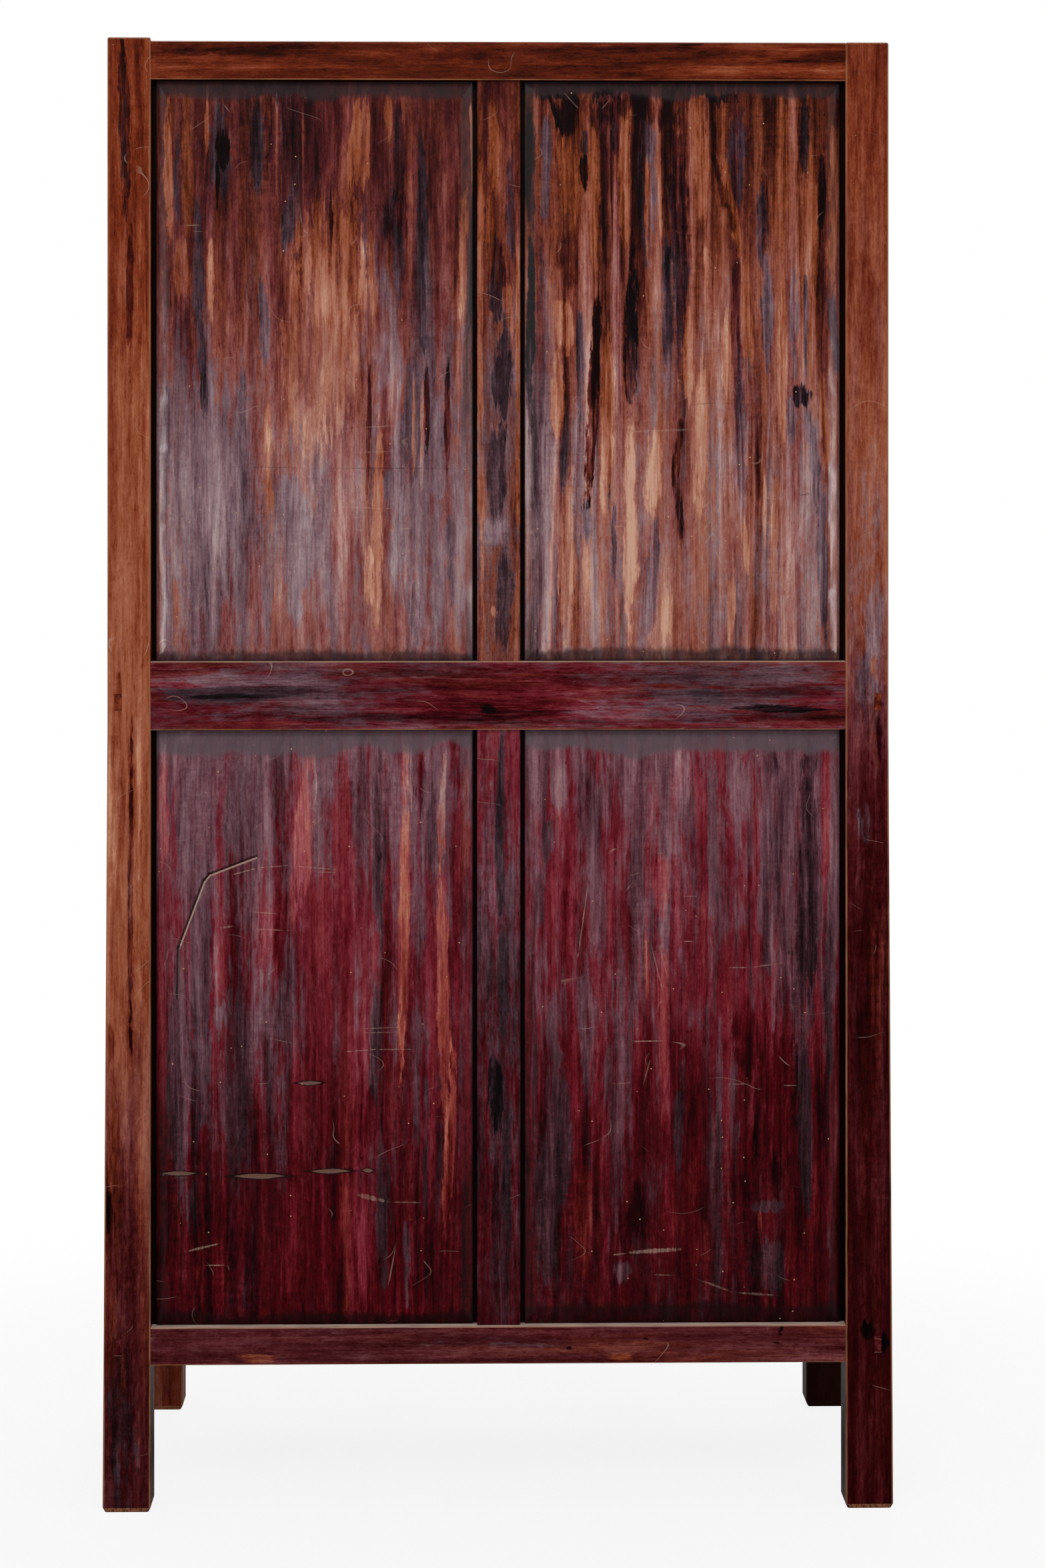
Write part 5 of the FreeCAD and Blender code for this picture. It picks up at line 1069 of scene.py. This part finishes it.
class CABINET_OT_bare_wood(bpy.types.Operator):
    """Leaves the boards inside as aged bare wood"""

    bl_idname = "cabinet.bare_wood"
    bl_label = "Bare wood"

    def execute(self, context):
        f = Lacquer("bare_wood", 71.7, "x")
        colour = f.wood(UMBER, UMBER, tones=0.5, warmths=0.5, blooms=0.0)
        bare = f.done(colour, 0.7, f.relief(), bump=0.3, gloss=0.2)
        names = ["inner_bearers", "drawer_guides", "shelf_panel", "floor_panel", "base_panel", "top_brace"]
        for side in SIDES:
            names += [f"drawer_{side}_box", f"drawer_{side}_bottom"]
        dress(bare, *names)
        return {"FINISHED"}


class CABINET_OT_brass(bpy.types.Operator):
    """Finishes the plates, pulls, bails and lock pin in aged brass"""

    bl_idname = "cabinet.brass"
    bl_label = "Brass"

    def execute(self, context):
        f = Finish("aged_brass")
        cloud = f.noise((22, 22, 22), 3.3, 3, 0.6)
        fine_speckle = f.noise((1.5, 1.5, 1.5), 5.1, 2, 0.6)
        tone = f.clamp(cloud * 1.3 + fine_speckle * 0.3 - 0.3)
        roughness = f.clamp(0.55 - cloud * 0.35)
        brass = f.done(f.ramp(tone, BRASS), roughness, fine_speckle, bump=0.12, metallic=1.0, gloss=0.5)
        names = ["lock_pin"]
        for side in SIDES:
            names += [f"{kind}_{side}" for kind in ("lock_plate", "door_pull", "drawer_plate", "drawer_bail")]
        dress(brass, *names)
        return {"FINISHED"}


class CABINET_OT_studio(bpy.types.Operator):
    """Sets up the floor, the soft lamps, the white surround and the camera"""

    bl_idname = "cabinet.studio"
    bl_label = "Studio"

    def execute(self, context):
        s = settings()
        self.lay_floor(s)
        self.light_surround(s)
        self.hang_lamps(s)
        self.place_camera(s)
        context.scene.view_settings.view_transform = "Standard"
        return {"FINISHED"}

    def lay_floor(self, s):
        """A wide plain floor that fades to white away from the cabinet."""
        reach = 15.0
        mesh = bpy.data.meshes.new("studio_floor")
        corners = ((-reach, -reach), (reach, -reach), (reach, reach), (-reach, reach))
        mesh.from_pydata([(x, y, 0) for x, y in corners], [], [(0, 1, 2, 3)])
        floor = bpy.data.objects.new("studio_floor", mesh)
        bpy.context.scene.collection.objects.link(floor)
        f = Finish("studio_floor")
        diffuse = f.node("ShaderNodeBsdfDiffuse", None, {"Color": tuple(s.floor_colour) + (1.0,)})
        white = f.node("ShaderNodeEmission", None, {"Color": WHITE, "Strength": 1.0})
        seen = Signal(f, f.node("ShaderNodeLightPath").outputs["Is Camera Ray"])
        near, far = 632, 1549
        away = f.ease(f.x * f.x + f.y * f.y, near ** 2, far ** 2, 0.86, 1.0)
        shaders = {0: seen * away, 1: diffuse.outputs[0], 2: white.outputs[0]}
        blend = f.node("ShaderNodeMixShader", None, shaders)
        f.tree.links.new(blend.outputs[0], f.output.inputs["Surface"])
        mesh.materials.append(f.material)

    def light_surround(self, s):
        """Soft light from all sides, plain white to the camera and in reflections."""
        world = bpy.data.worlds.new("studio_surround")
        bpy.context.scene.world = world
        world.use_nodes = True
        g = Graph(world.node_tree)
        rays = g.node("ShaderNodeLightPath").outputs
        names = ("Is Camera Ray", "Is Glossy Ray", "Is Transmission Ray")
        seen, shiny, through = (Signal(g, rays[name]) for name in names)
        plain = g.math("MAXIMUM", seen, g.math("MAXIMUM", shiny, through))
        ambient, white = (g.node("ShaderNodeBackground", None, {"Color": WHITE, "Strength": strength})
                          for strength in (s.ambient, 1.0))
        shaders = {0: plain, 1: ambient.outputs[0], 2: white.outputs[0]}
        blend = g.node("ShaderNodeMixShader", None, shaders)
        g.node("ShaderNodeOutputWorld", None, {"Surface": blend.outputs[0]})

    def hang_lamps(self, s):
        """Two upright strips and two soft lamps above, each turned to the nearer face."""
        half_depth, aim_height = 0.26, 1.0
        for name, place, width, height, power in (
            ("strip_plus_x", (2.9, 3.6, 1.0), 0.24, 0.9, s.strip_power),
            ("strip_minus_x", (-2.9, 3.6, 1.17), 0.24, 0.6, s.strip_power),
            ("front_top", (0.3, 3.4, 3.2), 1.8, 1.2, s.top_power),
            ("front_far", (-0.4, -3.4, 2.8), 1.8, 1.2, s.top_power),
        ):
            lamp = bpy.data.lights.new(name, "AREA")
            lamp.shape = "RECTANGLE"
            lamp.size = width
            lamp.size_y = height
            lamp.energy = power
            holder = bpy.data.objects.new(name, lamp)
            bpy.context.scene.collection.objects.link(holder)
            holder.location = place
            target = (0, math.copysign(half_depth, place[1]), aim_height)
            aim = Vector(target) - Vector(place)
            holder.rotation_euler = aim.to_track_quat("-Z", "Y").to_euler()

    def place_camera(self, s):
        """A camera behind the cabinet, held level, with its view shifted down."""
        lens = bpy.data.cameras.new("camera")
        lens.lens = s.lens
        lens.sensor_width = 36
        lens.sensor_fit = "AUTO"
        lens.shift_y = s.camera_shift
        camera = bpy.data.objects.new("camera", lens)
        bpy.context.scene.collection.objects.link(camera)
        camera.location = s.camera_place
        camera.rotation_euler = (math.radians(90), 0, math.radians(180) - s.camera_turn)
        bpy.context.scene.camera = camera


class CABINET_PT_panel(bpy.types.Panel):
    """Lists the cabinet's steps and settings"""

    bl_idname = "CABINET_PT_panel"
    bl_label = "Cabinet"
    bl_space_type = "VIEW_3D"
    bl_region_type = "UI"
    bl_category = "Cabinet"

    def draw(self, context):
        for step in steps:
            self.layout.operator(step.bl_idname)
        for name in CabinetSettings.__annotations__:
            self.layout.prop(context.scene.cabinet, name)


steps = (
    CABINET_OT_back_panels, CABINET_OT_back_frame, CABINET_OT_sides_and_front,
    CABINET_OT_doors_and_drawers, CABINET_OT_bare_wood, CABINET_OT_brass, CABINET_OT_studio,
)


def register():
    """Adds the settings, the steps and the sidebar's panel."""
    for kind in (CabinetSettings, *steps, CABINET_PT_panel):
        bpy.utils.register_class(kind)
    bpy.types.Scene.cabinet = bpy.props.PointerProperty(type=CabinetSettings)


def unregister():
    """Takes away what register added."""
    del bpy.types.Scene.cabinet
    for kind in reversed((CabinetSettings, *steps, CABINET_PT_panel)):
        bpy.utils.unregister_class(kind)


def main():
    """Runs every step in order."""
    register()
    for step in steps:
        group, name = step.bl_idname.split(".")
        getattr(getattr(bpy.ops, group), name)()


if __name__ == "__main__":
    main()
